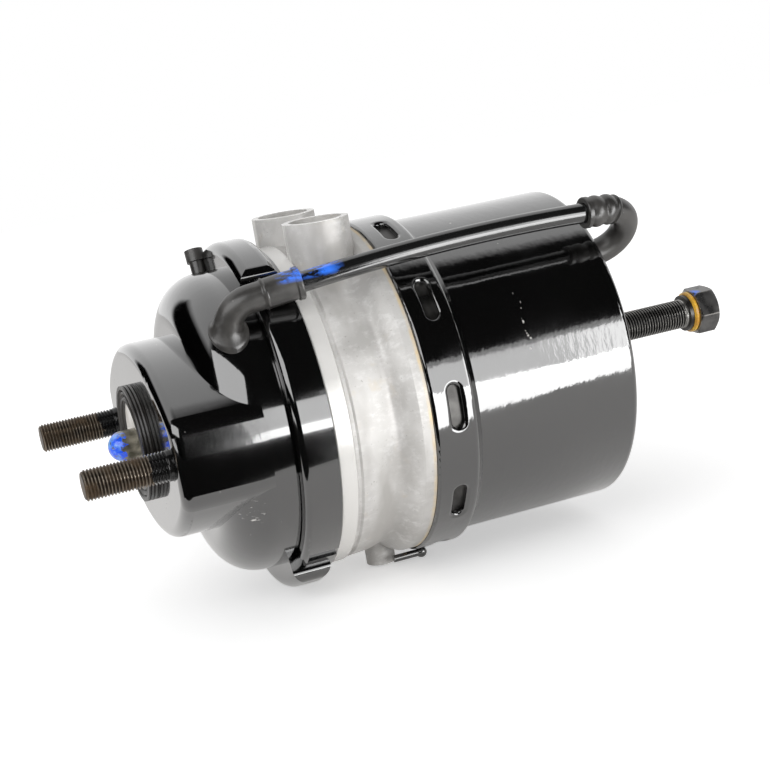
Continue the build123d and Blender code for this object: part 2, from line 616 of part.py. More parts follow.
with BuildPart() as tube_o_ring:
    with BuildSketch(Plane.XY):
        with Locations((O_RING_X + (O_RING_D + O_RING_PLAY) / 2, TUBE_R + O_RING_D / 2)):
            RegularPolygon(O_RING_D / 2 - RUNNING_FIT, O_RING_SIDES)
    revolve(axis=Axis.X)

tube_o_ring.part.label = "tube_o_ring"
export_step(tube_o_ring.part, "parts/tube_o_ring.step")


with BuildPart() as tube_guide_ring:
    revolve(ring(GUIDE_RING_X + STATIC_FIT, GUIDE_RING_X + GUIDE_RING_WIDTH - STATIC_FIT,
                 TUBE_R + RUNNING_FIT, TUBE_R + GUIDE_RING_THICK), axis=Axis.X)

tube_guide_ring.part.label = "tube_guide_ring"
export_step(tube_guide_ring.part, "parts/tube_guide_ring.step")


with BuildPart() as flange_seal:
    revolve(ring(FLANGE_SEAL_X + STATIC_FIT, FLANGE_SEAL_X + FLANGE_SEAL_WIDTH - STATIC_FIT,
                 SPIGOT_R - FLANGE_SEAL_THICK + STATIC_FIT, BAND_INNER_R - STATIC_FIT), axis=Axis.X)

flange_seal.part.label = "flange_seal"
export_step(flange_seal.part, "parts/flange_seal.step")


with BuildPart() as locking_ring:
    revolve(ring(LOCK_RING_X + STATIC_FIT, LOCK_RING_X + LOCK_RING_WIDTH - STATIC_FIT,
                 SPIGOT_R - LOCK_RING_THICK + STATIC_FIT, BAND_INNER_R - STATIC_FIT), axis=Axis.X)

locking_ring.part.label = "locking_ring"
export_step(locking_ring.part, "parts/locking_ring.step")


with BuildPart() as vent_plug:
    plug_r = VENT_BORE_D / 2 - STATIC_FIT
    plug_top_z = VENT_BOTTOM_Z + VENT_DEPTH - STATIC_FIT
    with BuildSketch(Plane.XY.offset(plug_top_z)):
        with Locations((VENT_X, 0)):
            Circle(plug_r)
    extrude(amount=-(VENT_DEPTH - VENT_PLUG_SINK))
    with BuildSketch(Plane.XY.offset(VENT_BOTTOM_Z + VENT_PLUG_SINK)):
        with Locations((VENT_X, 0)):
            RegularPolygon(VENT_KEY_R, HEX_SIDES)
    extrude(amount=VENT_KEY_DEPTH, mode=Mode.SUBTRACT)

vent_plug.part.label = "vent_plug"
export_step(vent_plug.part, "parts/vent_plug.step")


# ---- Spring cylinder -------------------------------------------------------------------------

with BuildPart() as spring_cylinder:
    with BuildSketch(Plane.XY) as shell_section:
        with BuildLine():
            lip = Polyline(
                (CYLINDER_END_X, NUT_R + STATIC_FIT), (CAP_INNER_X, NUT_R + STATIC_FIT),
                (CAP_INNER_X, CYLINDER_INNER_R), (BAND_END_X + BAND_SLOPE / 2, CYLINDER_INNER_R),
                (BAND_END_X, BAND_INNER_R), (BAND_FRONT_X, BAND_INNER_R), (BAND_FRONT_X, BAND_R),
                (BAND_END_X, BAND_R), (BAND_END_X + BAND_SLOPE, CYLINDER_R),
                (CYLINDER_END_X - CYLINDER_ROUND, CYLINDER_R))
            corner = JernArc(lip @ 1, (1, 0), CYLINDER_ROUND, -90)
            Line(corner @ 1, lip @ 0)
        make_face()
    revolve(axis=Axis.X)
    for slot in range(SLOT_COUNT):
        slot_angle = SLOT_FIRST_ANGLE + slot * 360 / SLOT_COUNT
        with BuildSketch(outward(slot_angle, SLOT_X, CYLINDER_INNER_R)):
            SlotOverall(SLOT_LENGTH, SLOT_WIDTH)
    extrude(amount=BAND_R - CYLINDER_INNER_R + CUT_MARGIN, mode=Mode.SUBTRACT)
    slot_rims = spring_cylinder.edges(Select.LAST).filter_by(
        lambda edge: from_axis(edge @ 0.5) > BAND_R - STATIC_FIT)
    fillet(slot_rims, SLOT_ROUND)
    band_edges = spring_cylinder.edges().filter_by(GeomType.CIRCLE).filter_by(
        lambda edge: edge.radius > BAND_R - STATIC_FIT).group_by(Axis.X)
    fillet(band_edges[0], BAND_FRONT_ROUND)
    band_edges = spring_cylinder.edges().filter_by(GeomType.CIRCLE).filter_by(
        lambda edge: edge.radius > BAND_R - STATIC_FIT).group_by(Axis.X)
    fillet(band_edges[-1], BAND_REAR_ROUND)
    # Hole for the rear elbow's spigot
    with BuildSketch(Plane.YZ.offset(CAP_INNER_X)):
        with Locations((REAR_END.Y, REAR_END.Z)):
            Circle(SPIGOT_TUBE_D / 2)
    extrude(amount=CAP_THICK, mode=Mode.SUBTRACT)

spring_cylinder.part.label = "spring_cylinder"
export_step(spring_cylinder.part, "parts/spring_cylinder.step")


# ---- Spring piston ---------------------------------------------------------------------------

with BuildPart() as spring_piston:
    piston_end_x = PISTON_X + PISTON_LENGTH
    rim_inner_r = PISTON_R - PISTON_RIM
    groove_x = PISTON_X + (PISTON_LENGTH - PISTON_SEAL_WIDTH) / 2
    groove_r = PISTON_R - PISTON_SEAL_DEPTH
    revolve(turned(
        (PISTON_X, TUBE_R + STATIC_FIT), (PISTON_X, PISTON_R), (groove_x, PISTON_R),
        (groove_x, groove_r), (groove_x + PISTON_SEAL_WIDTH, groove_r),
        (groove_x + PISTON_SEAL_WIDTH, PISTON_R), (piston_end_x, PISTON_R),
        (piston_end_x, rim_inner_r), (PISTON_WEB_BACK_X, rim_inner_r),
        (PISTON_WEB_BACK_X, TUBE_R + STATIC_FIT)), axis=Axis.X)

spring_piston.part.label = "spring_piston"
export_step(spring_piston.part, "parts/spring_piston.step")


with BuildPart() as piston_seal:
    revolve(ring(groove_x + STATIC_FIT, groove_x + PISTON_SEAL_WIDTH - STATIC_FIT,
                 groove_r + STATIC_FIT, CYLINDER_INNER_R - RUNNING_FIT), axis=Axis.X)

piston_seal.part.label = "piston_seal"
export_step(piston_seal.part, "parts/piston_seal.step")


with BuildPart() as piston_tube:
    nose_end_x = WEB_FRONT_X + NOSE_THICK
    retainer_end_x = RETAINER_X + RETAINER_THICK
    revolve(turned(
        (nose_end_x, TUBE_BORE_R), (nose_end_x, TUBE_R), (PISTON_X - TUBE_COLLAR_LENGTH, TUBE_R),
        (PISTON_X - TUBE_COLLAR_LENGTH, TUBE_COLLAR_R), (PISTON_X - STATIC_FIT, TUBE_COLLAR_R),
        (PISTON_X - STATIC_FIT, TUBE_R),
        (retainer_end_x, TUBE_R), (retainer_end_x, TUBE_BORE_R)), axis=Axis.X)

piston_tube.part.label = "piston_tube"
export_step(piston_tube.part, "parts/piston_tube.step")


with BuildPart() as tube_nose:
    nose_x = WEB_FRONT_X + SEAT_GAP
    nose_spigot_end_x = nose_end_x + NOSE_SPIGOT_LENGTH
    revolve(turned(
        (nose_x, 0), (nose_x, TUBE_R - NOSE_CHAMFER), (nose_x + NOSE_CHAMFER, TUBE_R), (nose_end_x, TUBE_R),
        (nose_end_x, TUBE_BORE_R - STATIC_FIT), (nose_spigot_end_x, TUBE_BORE_R - STATIC_FIT),
        (nose_spigot_end_x, 0)), axis=Axis.X)

tube_nose.part.label = "tube_nose"
export_step(tube_nose.part, "parts/tube_nose.step")


with BuildPart() as bolt_retainer:
    retainer_bore_r = BOLT_D / 2 + RETAINER_CLEARANCE
    revolve(ring(RETAINER_X, retainer_end_x, retainer_bore_r, TUBE_BORE_R - STATIC_FIT), axis=Axis.X)

bolt_retainer.part.label = "bolt_retainer"
export_step(bolt_retainer.part, "parts/bolt_retainer.step")


with BuildPart() as power_spring:
    power_start_x = PISTON_WEB_BACK_X + SEAT_GAP + POWER_WIRE_D / 2
    power_end_x = CAP_INNER_X - SEAT_GAP - POWER_WIRE_D / 2
    power_height = power_end_x - power_start_x
    with BuildLine() as power_path:
        Helix(power_height / POWER_TURNS, power_height, POWER_COIL_R,
              center=(power_start_x, 0, 0), direction=(1, 0, 0), cone_angle=-POWER_CONE)
    with BuildSketch(power_path.line ^ 0):
        RegularPolygon(POWER_WIRE_D / 2, POWER_WIRE_SIDES)
    sweep(path=power_path.line, is_frenet=True)

power_spring.part.label = "power_spring"
export_step(power_spring.part, "parts/power_spring.step")


# ---- Release bolt ----------------------------------------------------------------------------

with BuildPart() as release_bolt:
    shank_start_x = BOLT_INNER_X + BOLT_END_COLLAR_THICK
    revolve(disc(BOLT_INNER_X, shank_start_x, BOLT_END_COLLAR_D / 2), axis=Axis.X)
    revolve(disc(shank_start_x, BOLT_HEAD_X, BOLT_D / 2), axis=Axis.X)
    head_end_x = BOLT_HEAD_X + BOLT_HEAD_THICK
    hex_corner_r = BOLT_HEX_AF / 2 / cos(radians(180 / HEX_SIDES))
    with BuildSketch(Plane.YZ.offset(BOLT_HEAD_X)):
        RegularPolygon(hex_corner_r, HEX_SIDES, rotation=BOLT_HEAD_TURN)
    extrude(amount=BOLT_HEAD_THICK)
    chamfer_depth = hex_corner_r - BOLT_HEX_AF / 2
    revolve(turned(
        (head_end_x, BOLT_HEX_AF / 2), (head_end_x, hex_corner_r + CUT_MARGIN),
        (head_end_x - chamfer_depth, hex_corner_r + CUT_MARGIN), (head_end_x - chamfer_depth, hex_corner_r)),
        axis=Axis.X, mode=Mode.SUBTRACT)

release_bolt.part.label = "release_bolt"
export_step(release_bolt.part, "parts/release_bolt.step")


with BuildPart() as thrust_washer:
    washer_x = RETAINER_X - SEAT_GAP - WASHER_THICK
    revolve(ring(washer_x, washer_x + WASHER_THICK, BOLT_D / 2 + RUNNING_FIT, BOLT_END_COLLAR_D / 2),
            axis=Axis.X)

thrust_washer.part.label = "thrust_washer"
export_step(thrust_washer.part, "parts/thrust_washer.step")


with BuildPart() as head_collar:
    revolve(ring(HEAD_COLLAR_X, SEAL_WASHER_X, BOLT_D / 2, HEAD_COLLAR_D / 2), axis=Axis.X)

head_collar.part.label = "head_collar"
export_step(head_collar.part, "parts/head_collar.step")


with BuildPart() as bolt_seal_ring:
    revolve(ring(SEAL_WASHER_X, BOLT_HEAD_X, BOLT_D / 2, SEAL_WASHER_D / 2), axis=Axis.X)
    outer_edges = bolt_seal_ring.edges().filter_by(GeomType.CIRCLE).sort_by(SortBy.RADIUS)[-2:]
    chamfer(outer_edges, SEAL_WASHER_EDGE)

bolt_seal_ring.part.label = "bolt_seal_ring"
export_step(bolt_seal_ring.part, "parts/bolt_seal_ring.step")


with BuildPart() as release_nut:
    nut_flange_x = CAP_INNER_X - NUT_FLANGE_THICK
    bolt_bore_r = BOLT_D / 2 + RUNNING_FIT
    revolve(turned(
        (nut_flange_x, bolt_bore_r), (nut_flange_x, NUT_FLANGE_R), (CAP_INNER_X, NUT_FLANGE_R),
        (CAP_INNER_X, NUT_R), (NUT_END_X - NUT_CHAMFER, NUT_R), (NUT_END_X, NUT_R - NUT_CHAMFER),
        (NUT_END_X, bolt_bore_r)), axis=Axis.X)

release_nut.part.label = "release_nut"
export_step(release_nut.part, "parts/release_nut.step")


# ---- Breather line ---------------------------------------------------------------------------

with BuildPart() as breather_pipe:
    with BuildLine() as pipe_path:
        Line(FRONT_MOUTH - FRONT_HEADING * PIPE_FRONT_SEAT, FRONT_MOUTH)
        add(pipe_bow.line)
        Line(REAR_MOUTH, REAR_MOUTH + REAR_HEADING * PIPE_REAR_SEAT)
    with BuildSketch(FRONT_MOUTH_PLANE.offset(-PIPE_FRONT_SEAT)):
        Circle(PIPE_D / 2)
        Circle(PIPE_BORE_D / 2, mode=Mode.SUBTRACT)
    sweep(path=pipe_path.line)

breather_pipe.part.label = "breather_pipe"
export_step(breather_pipe.part, "parts/breather_pipe.step")


with BuildPart() as front_elbow:
    # A bend of one radius takes the same length off the leg and off the sleeve
    corner_angle = LEG_DIRECTION.get_angle(FRONT_HEADING)
    bend_reach = FRONT_BEND_R * tan(radians(corner_angle / 2))
    bend_start = ELBOW_CORNER - LEG_DIRECTION * bend_reach
    bend_end = ELBOW_CORNER + FRONT_HEADING * bend_reach
    sleeve_length = (FRONT_MOUTH - bend_end).length
    with BuildLine() as front_path:
        Line(FOOT, bend_start)
        TangentArc(bend_start, bend_end, tangent=LEG_DIRECTION)
        Line(bend_end, FRONT_MOUTH)
    with BuildSketch(FOOT_PLANE):
        Circle(ELBOW_D / 2)
    sweep(path=front_path.line)
    with BuildSketch(FOOT_PLANE.offset(-FRONT_FOOT_LENGTH)):
        Circle(FRONT_FOOT_D / 2)
    extrude(amount=2 * FRONT_FOOT_LENGTH)
    for bead_end in (0, sleeve_length - ELBOW_BEAD_LENGTH):
        with BuildSketch(FRONT_MOUTH_PLANE.offset(-bead_end)):
            Circle(ELBOW_BEAD_D / 2)
        extrude(amount=-ELBOW_BEAD_LENGTH)
    # Bore: the pipe's seat, and the housing's spigot below
    with BuildSketch(FRONT_MOUTH_PLANE):
        Circle(PIPE_D / 2)
    extrude(amount=-PIPE_FRONT_SEAT, mode=Mode.SUBTRACT)
    with BuildSketch(FOOT_PLANE):
        Circle(SPIGOT_TUBE_D / 2)
    extrude(amount=SPIGOT_TUBE_SEAT, both=True, mode=Mode.SUBTRACT)
    revolve(disc(0, FRONT_MOUTH_X, BODY_R + STATIC_FIT), axis=Axis.X, mode=Mode.SUBTRACT)

front_elbow.part.label = "front_elbow"
export_step(front_elbow.part, "parts/front_elbow.step")


with BuildPart() as housing_spigot:
    # Nipple through the housing wall, inside the front elbow's foot
    with BuildSketch(FOOT_PLANE) as spigot_section:
        Circle(SPIGOT_TUBE_D / 2 - RUNNING_FIT)
        Circle(SPIGOT_TUBE_BORE_D / 2, mode=Mode.SUBTRACT)
    extrude(amount=SPIGOT_TUBE_SEAT - STATIC_FIT)
    extrude(spigot_section.sketch, amount=-FRONT_FOOT_LENGTH)

housing_spigot.part.label = "housing_spigot"
export_step(housing_spigot.part, "parts/housing_spigot.step")


# The rear elbow turns back into the cylinder's end cap. Its bend ends square to the cap
rear_slope = atan2(-REAR_HEADING.dot(PIPE_PLANE.y_dir), REAR_HEADING.X)
# Sleeve and bend are tangent when mouth, sleeve and bend together come down to the cap's spigot
rear_rise = REAR_MOUTH_R - (REAR_END_X - REAR_MOUTH_X) * tan(rear_slope) - REAR_END_R
rear_bend_r = rear_rise / (1 + cos(rear_slope) + sin(rear_slope) * tan(rear_slope))
turn_x = REAR_END_X + rear_bend_r * sin(rear_slope)
rear_sleeve = (turn_x - REAR_MOUTH_X) / cos(rear_slope)

with BuildPart() as rear_elbow:
    turn_start = REAR_MOUTH + REAR_HEADING * rear_sleeve
    with BuildLine() as rear_path:
        Line(REAR_MOUTH, turn_start)
        TangentArc(turn_start, REAR_END, tangent=REAR_HEADING)
        Line(REAR_END, REAR_END - Vector(REAR_BEND_GAP - STATIC_FIT, 0, 0))
    with BuildSketch(REAR_MOUTH_PLANE):
        Circle(ELBOW_D / 2)
    sweep(path=rear_path.line)
    for bead_start in (0, rear_sleeve - ELBOW_BEAD_LENGTH):
        with BuildSketch(REAR_MOUTH_PLANE.offset(bead_start)):
            Circle(ELBOW_BEAD_D / 2)
        extrude(amount=ELBOW_BEAD_LENGTH)
    with BuildSketch(REAR_MOUTH_PLANE):
        Circle(PIPE_D / 2)
    extrude(amount=PIPE_REAR_SEAT, mode=Mode.SUBTRACT)
    with BuildSketch(Plane.YZ.offset(CYLINDER_END_X)):
        with Locations((REAR_END.Y, REAR_END.Z)):
            Circle(SPIGOT_TUBE_D / 2)
    extrude(amount=SPIGOT_TUBE_SEAT, mode=Mode.SUBTRACT)

rear_elbow.part.label = "rear_elbow"
export_step(rear_elbow.part, "parts/rear_elbow.step")


with BuildPart() as cap_spigot:
    with BuildSketch(Plane.YZ.offset(CAP_INNER_X)):
        with Locations((REAR_END.Y, REAR_END.Z)):
            Circle(SPIGOT_TUBE_D / 2 - RUNNING_FIT)
            Circle(SPIGOT_TUBE_BORE_D / 2, mode=Mode.SUBTRACT)
    extrude(amount=CAP_THICK + SPIGOT_TUBE_SEAT - STATIC_FIT)

cap_spigot.part.label = "cap_spigot"
export_step(cap_spigot.part, "parts/cap_spigot.step")


# ---- Small pieces ----------------------------------------------------------------------------

with BuildPart() as breather_plug:
    plug_foot_r = BODY_R - HOUSING_WALL
    plug_top_r = BODY_R + PLUG_PROUD
    with BuildSketch(outward(PLUG_ANGLE, PLUG_X, plug_foot_r)):
        Circle(PLUG_D / 2)
    extrude(amount=plug_top_r - plug_foot_r)
    with BuildSketch(outward(PLUG_ANGLE, PLUG_X, plug_top_r - PLUG_HEAD_LENGTH)):
        Circle(PLUG_HEAD_D / 2)
    extrude(amount=PLUG_HEAD_LENGTH)

breather_plug.part.label = "breather_plug"
export_step(breather_plug.part, "parts/breather_plug.step")


with BuildPart() as locking_wire:
    # Tail of the locking ring, bent round the band's front edge and forward under the flange
    wire_z = -(BAND_R + WIRE_D / 2 + STATIC_FIT)
    with BuildSketch(Plane.YZ.offset(BAND_FRONT_X - WIRE_OVERHANG)):
        with Locations((WIRE_Y, wire_z)):
            Circle(WIRE_D / 2)
    extrude(amount=WIRE_OVERHANG + WIRE_RETURN)
    with Locations((BAND_FRONT_X + WIRE_RETURN, WIRE_Y, wire_z)):
        Sphere(WIRE_KNOB_D / 2)
    revolve(disc(BAND_FRONT_X - WIRE_OVERHANG, BAND_END_X, BAND_R), axis=Axis.X, mode=Mode.SUBTRACT)

locking_wire.part.label = "locking_wire"
export_step(locking_wire.part, "parts/locking_wire.step")
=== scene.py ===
# %% [markdown]
# Air brake chamber: how its looks are built.
#
# This object is the actuator of a truck's disc brake. A service chamber with a push rod is on
# the left, a spring brake with its release bolt on the right, and a cast aluminium flange joins
# them. The solid parts come from the CAD model and stay where they are. What Blender adds is the
# finish of each surface, and the shapes that are too fine for the solids: screw threads, and the
# ribs and beads of the moulded rubber elbows.

import bpy
import numpy as np
from mathutils import Matrix, Vector


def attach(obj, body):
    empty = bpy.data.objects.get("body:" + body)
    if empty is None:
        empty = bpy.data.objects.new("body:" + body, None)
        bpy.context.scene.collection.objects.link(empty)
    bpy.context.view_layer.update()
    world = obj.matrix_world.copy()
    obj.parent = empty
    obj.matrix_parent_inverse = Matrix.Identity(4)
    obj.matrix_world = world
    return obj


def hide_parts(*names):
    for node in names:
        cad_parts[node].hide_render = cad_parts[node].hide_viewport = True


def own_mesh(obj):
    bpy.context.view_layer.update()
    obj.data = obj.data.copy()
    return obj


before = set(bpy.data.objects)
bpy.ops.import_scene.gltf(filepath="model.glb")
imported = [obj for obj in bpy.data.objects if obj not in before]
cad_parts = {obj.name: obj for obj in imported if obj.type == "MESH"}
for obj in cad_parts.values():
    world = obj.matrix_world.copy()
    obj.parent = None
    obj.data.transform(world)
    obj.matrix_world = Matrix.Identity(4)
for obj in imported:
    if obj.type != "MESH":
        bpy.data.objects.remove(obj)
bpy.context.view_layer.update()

MM = 0.001

# %% [markdown]
# The camera stands in front of the chamber's near side, a little above its axis, and looks along
# it towards the release bolt. It is rolled by some ten degrees, as a hand-held product picture
# of a part that lies on its side. A long lens keeps the cylinders from bulging. Right, up and
# forward are written as unit vectors, because three directions are easier to check than three
# angles.

# %% Camera
CAMERA_PLACE = Vector((-0.126505, -0.759713, 0.164595))
CAMERA_RIGHT = Vector((0.92660, -0.33880, -0.16320)).normalized()
CAMERA_FORWARD = Vector((0.30471, 0.93072, -0.20227)).normalized()
CAMERA_LENS = 77.89

camera_up = CAMERA_RIGHT.cross(CAMERA_FORWARD).normalized()
camera_data = bpy.data.cameras.new("camera")
camera_data.lens = CAMERA_LENS
camera_data.sensor_width = 36.0
camera_data.clip_start = 0.01
camera_data.clip_end = 50.0
camera = bpy.data.objects.new("camera", camera_data)
axes = Matrix((CAMERA_RIGHT, camera_up, -CAMERA_FORWARD)).transposed()
camera.matrix_world = Matrix.Translation(CAMERA_PLACE) @ axes.to_4x4()
bpy.context.scene.collection.objects.link(camera)
bpy.context.scene.camera = camera
bpy.context.scene.view_settings.view_transform = "Standard"
print("camera at", tuple(round(value, 3) for value in CAMERA_PLACE))

# %% [markdown]
# Every finish is a net of shader nodes. A small class adds nodes to a net and joins them, so that
# each finish below reads as a list of what it mixes. What goes into a node may be a socket of
# another node or a plain value: a number, or a colour or point as three numbers.

# %% Helpers for shader nodes
class Nodes:
    """One net of shader nodes. place is the socket with the coordinates that it works in."""

    def __init__(self, tree, coordinates="Object"):
        self.tree = tree
        self.place = self.add("TexCoord").outputs[coordinates]

    def add(self, kind, *values, **settings):
        """A new node of a kind, with its properties set and values put into its first inputs."""
        node = self.tree.nodes.new("ShaderNode" + kind)
        for name, setting in settings.items():
            setattr(node, name, setting)
        for value, socket in zip(values, node.inputs):
            self.put(value, socket)
        return node

    def fill(self, node, **values):
        """Puts values into a node's inputs, each named with _ for a space."""
        for label, value in values.items():
            self.put(value, node.inputs[label.replace("_", " ")])
        return node

    def put(self, value, socket):
        """Feeds a socket from another socket, or sets it to a plain value."""
        if isinstance(value, bpy.types.NodeSocket):
            self.tree.links.new(value, socket)
        elif socket.type == "RGBA":
            socket.default_value = (*value, 1.0)
        else:
            socket.default_value = value

    def axis(self, name, vector=None):
        """One part of a vector, or of the place if no vector is given."""
        return self.add("SeparateXYZ", self.place if vector is None else vector).outputs[name]

    def measured(self, operation, vector):
        """The number that a vector operation gives for the place and a fixed vector."""
        return self.add("VectorMath", self.place, vector, operation=operation).outputs["Value"]

    def maths(self, operation, *values):
        """One step of arithmetic."""
        return self.add("Math", *values, operation=operation).outputs[0]

    def times(self, *values):
        """The product of values. For masks, it is 1 where all of them are."""
        product = values[0]
        for value in values[1:]:
            product = self.maths("MULTIPLY", product, value)
        return product

    def between(self, value, low, high, to_low=0.0, to_high=1.0, kind="LINEAR"):
        """Takes a value from low..high to to_low..to_high and stops at both ends."""
        node = self.add("MapRange", value, low, high, to_low, to_high, interpolation_type=kind)
        return node.outputs["Result"]

    def blend(self, mask, first, second):
        """Goes from first to second with the mask. Both are numbers, or both are colours."""
        colours = isinstance(second, tuple) or getattr(second, "type", "VALUE") == "RGBA"
        node = self.add("Mix", mask, data_type="RGBA" if colours else "FLOAT")
        first_input = 6 if colours else 2
        self.put(first, node.inputs[first_input])
        self.put(second, node.inputs[first_input + 1])
        return node.outputs[2 if colours else 0]

# %% [markdown]
# Patterns come next: noise, rings, and masks round a point. A Bump node turns a height into a
# changed normal. A finish is a net of nodes that ends in a material's Principled shader.

# %% Helpers for patterns and finishes
class Patterns(Nodes):
    """A net of nodes with patterns that are laid out in its coordinates."""

    def near(self, point, inner, outer):
        """1 within inner of a point and 0 beyond outer."""
        return self.between(self.measured("DISTANCE", point), inner, outer, 1.0, 0.0, "SMOOTHSTEP")

    def noise(self, scale, detail=4.0, roughness=0.55, stretch=None):
        """Noise with so many grains per metre; stretch is a factor for each axis."""
        place = self.place
        if stretch is not None:
            place = self.fill(self.add("Mapping", place), Scale=stretch).outputs["Vector"]
        node = self.add("TexNoise", place)
        return self.fill(node, Scale=scale, Detail=detail, Roughness=roughness).outputs["Fac"]

    def rings(self, scale, distortion=0.0):
        """Rings that follow one another along the chamber."""
        node = self.add("TexWave", self.place, scale, distortion, wave_type="BANDS",
                        bands_direction="X")
        return node.outputs["Fac"]

    def effect(self, group, **values):
        """Places a shared effect and gives back what it puts out."""
        return self.fill(self.add("Group", node_tree=group), **values).outputs

    def raised(self, height, strength, distance, before=None):
        """The normal of a surface that has this height, on top of an earlier normal."""
        node = self.fill(self.add("Bump"), Height=height, Strength=strength, Distance=distance)
        if before is not None:
            self.fill(node, Normal=before)
        return node.outputs["Normal"]


class Finish(Patterns):
    """A new material. Numbers that are the same all over it are set on its shader."""

    def __init__(self, name, **constants):
        self.material = bpy.data.materials.new(name)
        self.material.use_nodes = True
        super().__init__(self.material.node_tree)
        self.shader = self.tree.nodes["Principled BSDF"]
        self.feed(**constants)
        print("finish:", name)

    def feed(self, **values):
        """Puts values into the shader's inputs."""
        self.fill(self.shader, **values)

# %% [markdown]
# Gloss black paint has hardly any colour of its own: what we see is the studio, mirrored. So the
# light is planned as a photographer plans it for a car. A white sweep stands behind the part and
# a pale table lies under it, the front of the room stays dark, and soft boxes draw the
# highlights. The world does the sweep: a direction's Y says whether it points to the back
# (white) or to the front (dark), and a dark doorway at the left end of the sweep keeps the neck
# of the housing from going flat. Rays from the camera always see plain white.

# %% World
SWEEP_WHITE = 1.0
ROOM_DARK = 0.012
AMBIENT = 0.62
SWEEP_EDGE = (-0.02, 0.10)
DOORWAY_EDGE = (-0.42, -0.36)
DOORWAY_TOP = (0.52, 0.66)

world = bpy.data.worlds.new("studio")
world.use_nodes = True
bpy.context.scene.world = world
world.node_tree.nodes.clear()
sky = Nodes(world.node_tree, "Generated")
ray = sky.add("LightPath").outputs
sweep = sky.between(sky.axis("Y"), *SWEEP_EDGE, ROOM_DARK, SWEEP_WHITE)
outside_doorway = sky.maths("MAXIMUM", sky.between(sky.axis("X"), *DOORWAY_EDGE),
                            sky.between(sky.axis("Z"), *DOORWAY_TOP))
lit = sky.blend(ray["Is Diffuse Ray"], sky.times(sweep, outside_doorway), AMBIENT)
seen = sky.blend(ray["Is Camera Ray"], lit, SWEEP_WHITE)
sky.add("OutputWorld", sky.add("Background", (1.0, 1.0, 1.0), seen).outputs["Background"])
print("world: sweep", SWEEP_WHITE, "room", ROOM_DARK, "ambient", AMBIENT)

# %% [markdown]
# Four boxes at the front and right draw the broad highlight along both drums, one above the
# other, and two at the left light the neck and the belly of the housing. Each one is given by
# where it stands, what it faces, its size and how bright a mirror shows it.

# %% Soft boxes
def soft_box(name, place, target, width, height, radiance):
    """A rectangular area lamp at place that faces target. Its power is worked out from how
    bright a mirror shows it: power = radiance x pi x area."""
    lamp = bpy.data.lights.new(name, "AREA")
    lamp.shape = "RECTANGLE"
    lamp.size, lamp.size_y = width, height
    lamp.energy = radiance * np.pi * width * height
    box = bpy.data.objects.new(name, lamp)
    towards = Vector(target) - Vector(place)
    box.rotation_mode = "QUATERNION"
    box.rotation_quaternion = towards.to_track_quat("-Z", "Y")
    box.location = place
    box.visible_camera = False
    bpy.context.scene.collection.objects.link(box)
    print(name, "power", round(lamp.energy, 1), "W")


soft_box("front_box_low", (0.725, -1.027, -0.155), (0.115, -0.027, 0.0), 0.966, 0.26, 8.5)
soft_box("front_box_high", (0.482, -1.176, 0.145), (-0.128, -0.176, 0.0), 0.415, 0.34, 3.2)
soft_box("front_box_right", (0.898, -0.922, 0.145), (0.288, 0.078, 0.0), 0.56, 0.34, 5.5)
soft_box("front_box_fringe", (0.77, -1.00, 0.352), (0.16, 0.0, 0.0), 0.86, 0.07, 1.2)
soft_box("left_box", (-0.74, -0.70, 0.66), (0.03, -0.05, 0.03), 1.45, 0.74, 2.6)
soft_box("left_box_low", (-1.10, -0.22, -0.12), (0.0, -0.05, 0.0), 0.85, 0.24, 2.4)

# %% [markdown]
# The table is one pale sheet. In the studio a dark cloth lies in front of the part, so the low
# side of the drums mirrors the pale table and the part above it mirrors the dark. Here the cloth
# is only there for mirrored rays, past a slanted line on the table, and to the right the foot of
# the front boxes shines there instead. For rays from the camera a little light of its own is
# added, more of it away from the part, which takes the table up to the white of the sweep and
# still lets it keep the soft shadow under the part.

# %% Table
TABLE_Z = -0.0885
TABLE_FRONT_Y, TABLE_BACK_Y, TABLE_HALF_WIDTH = -0.75, 2.6, 2.6
TABLE_PALE = (0.86, 0.8471, 0.8342)
TABLE_SEEN = (0.80, 0.80, 0.80)
TABLE_GLOW = 0.12
TABLE_MIDDLE, TABLE_NEAR, TABLE_FAR = (0.13, -0.05, 0.0), 0.13, 0.42
TABLE_LIFT_NEAR, TABLE_LIFT_FAR = 0.40, 0.64
CLOTH_ACROSS, CLOTH_LINE = (0.53, 1.0, 0.0), -0.151
FOOT_ACROSS, FOOT_LINE = (1.0, 0.33, 0.0), 0.05
FOOT_GLOW = 7.0

table_mesh = bpy.data.meshes.new("table")
table_mesh.from_pydata(
    [(-TABLE_HALF_WIDTH, TABLE_FRONT_Y, TABLE_Z), (TABLE_HALF_WIDTH, TABLE_FRONT_Y, TABLE_Z),
     (TABLE_HALF_WIDTH, TABLE_BACK_Y, TABLE_Z), (-TABLE_HALF_WIDTH, TABLE_BACK_Y, TABLE_Z)],
    [], [(0, 1, 2, 3)])
table = bpy.data.objects.new("table", table_mesh)
bpy.context.scene.collection.objects.link(table)

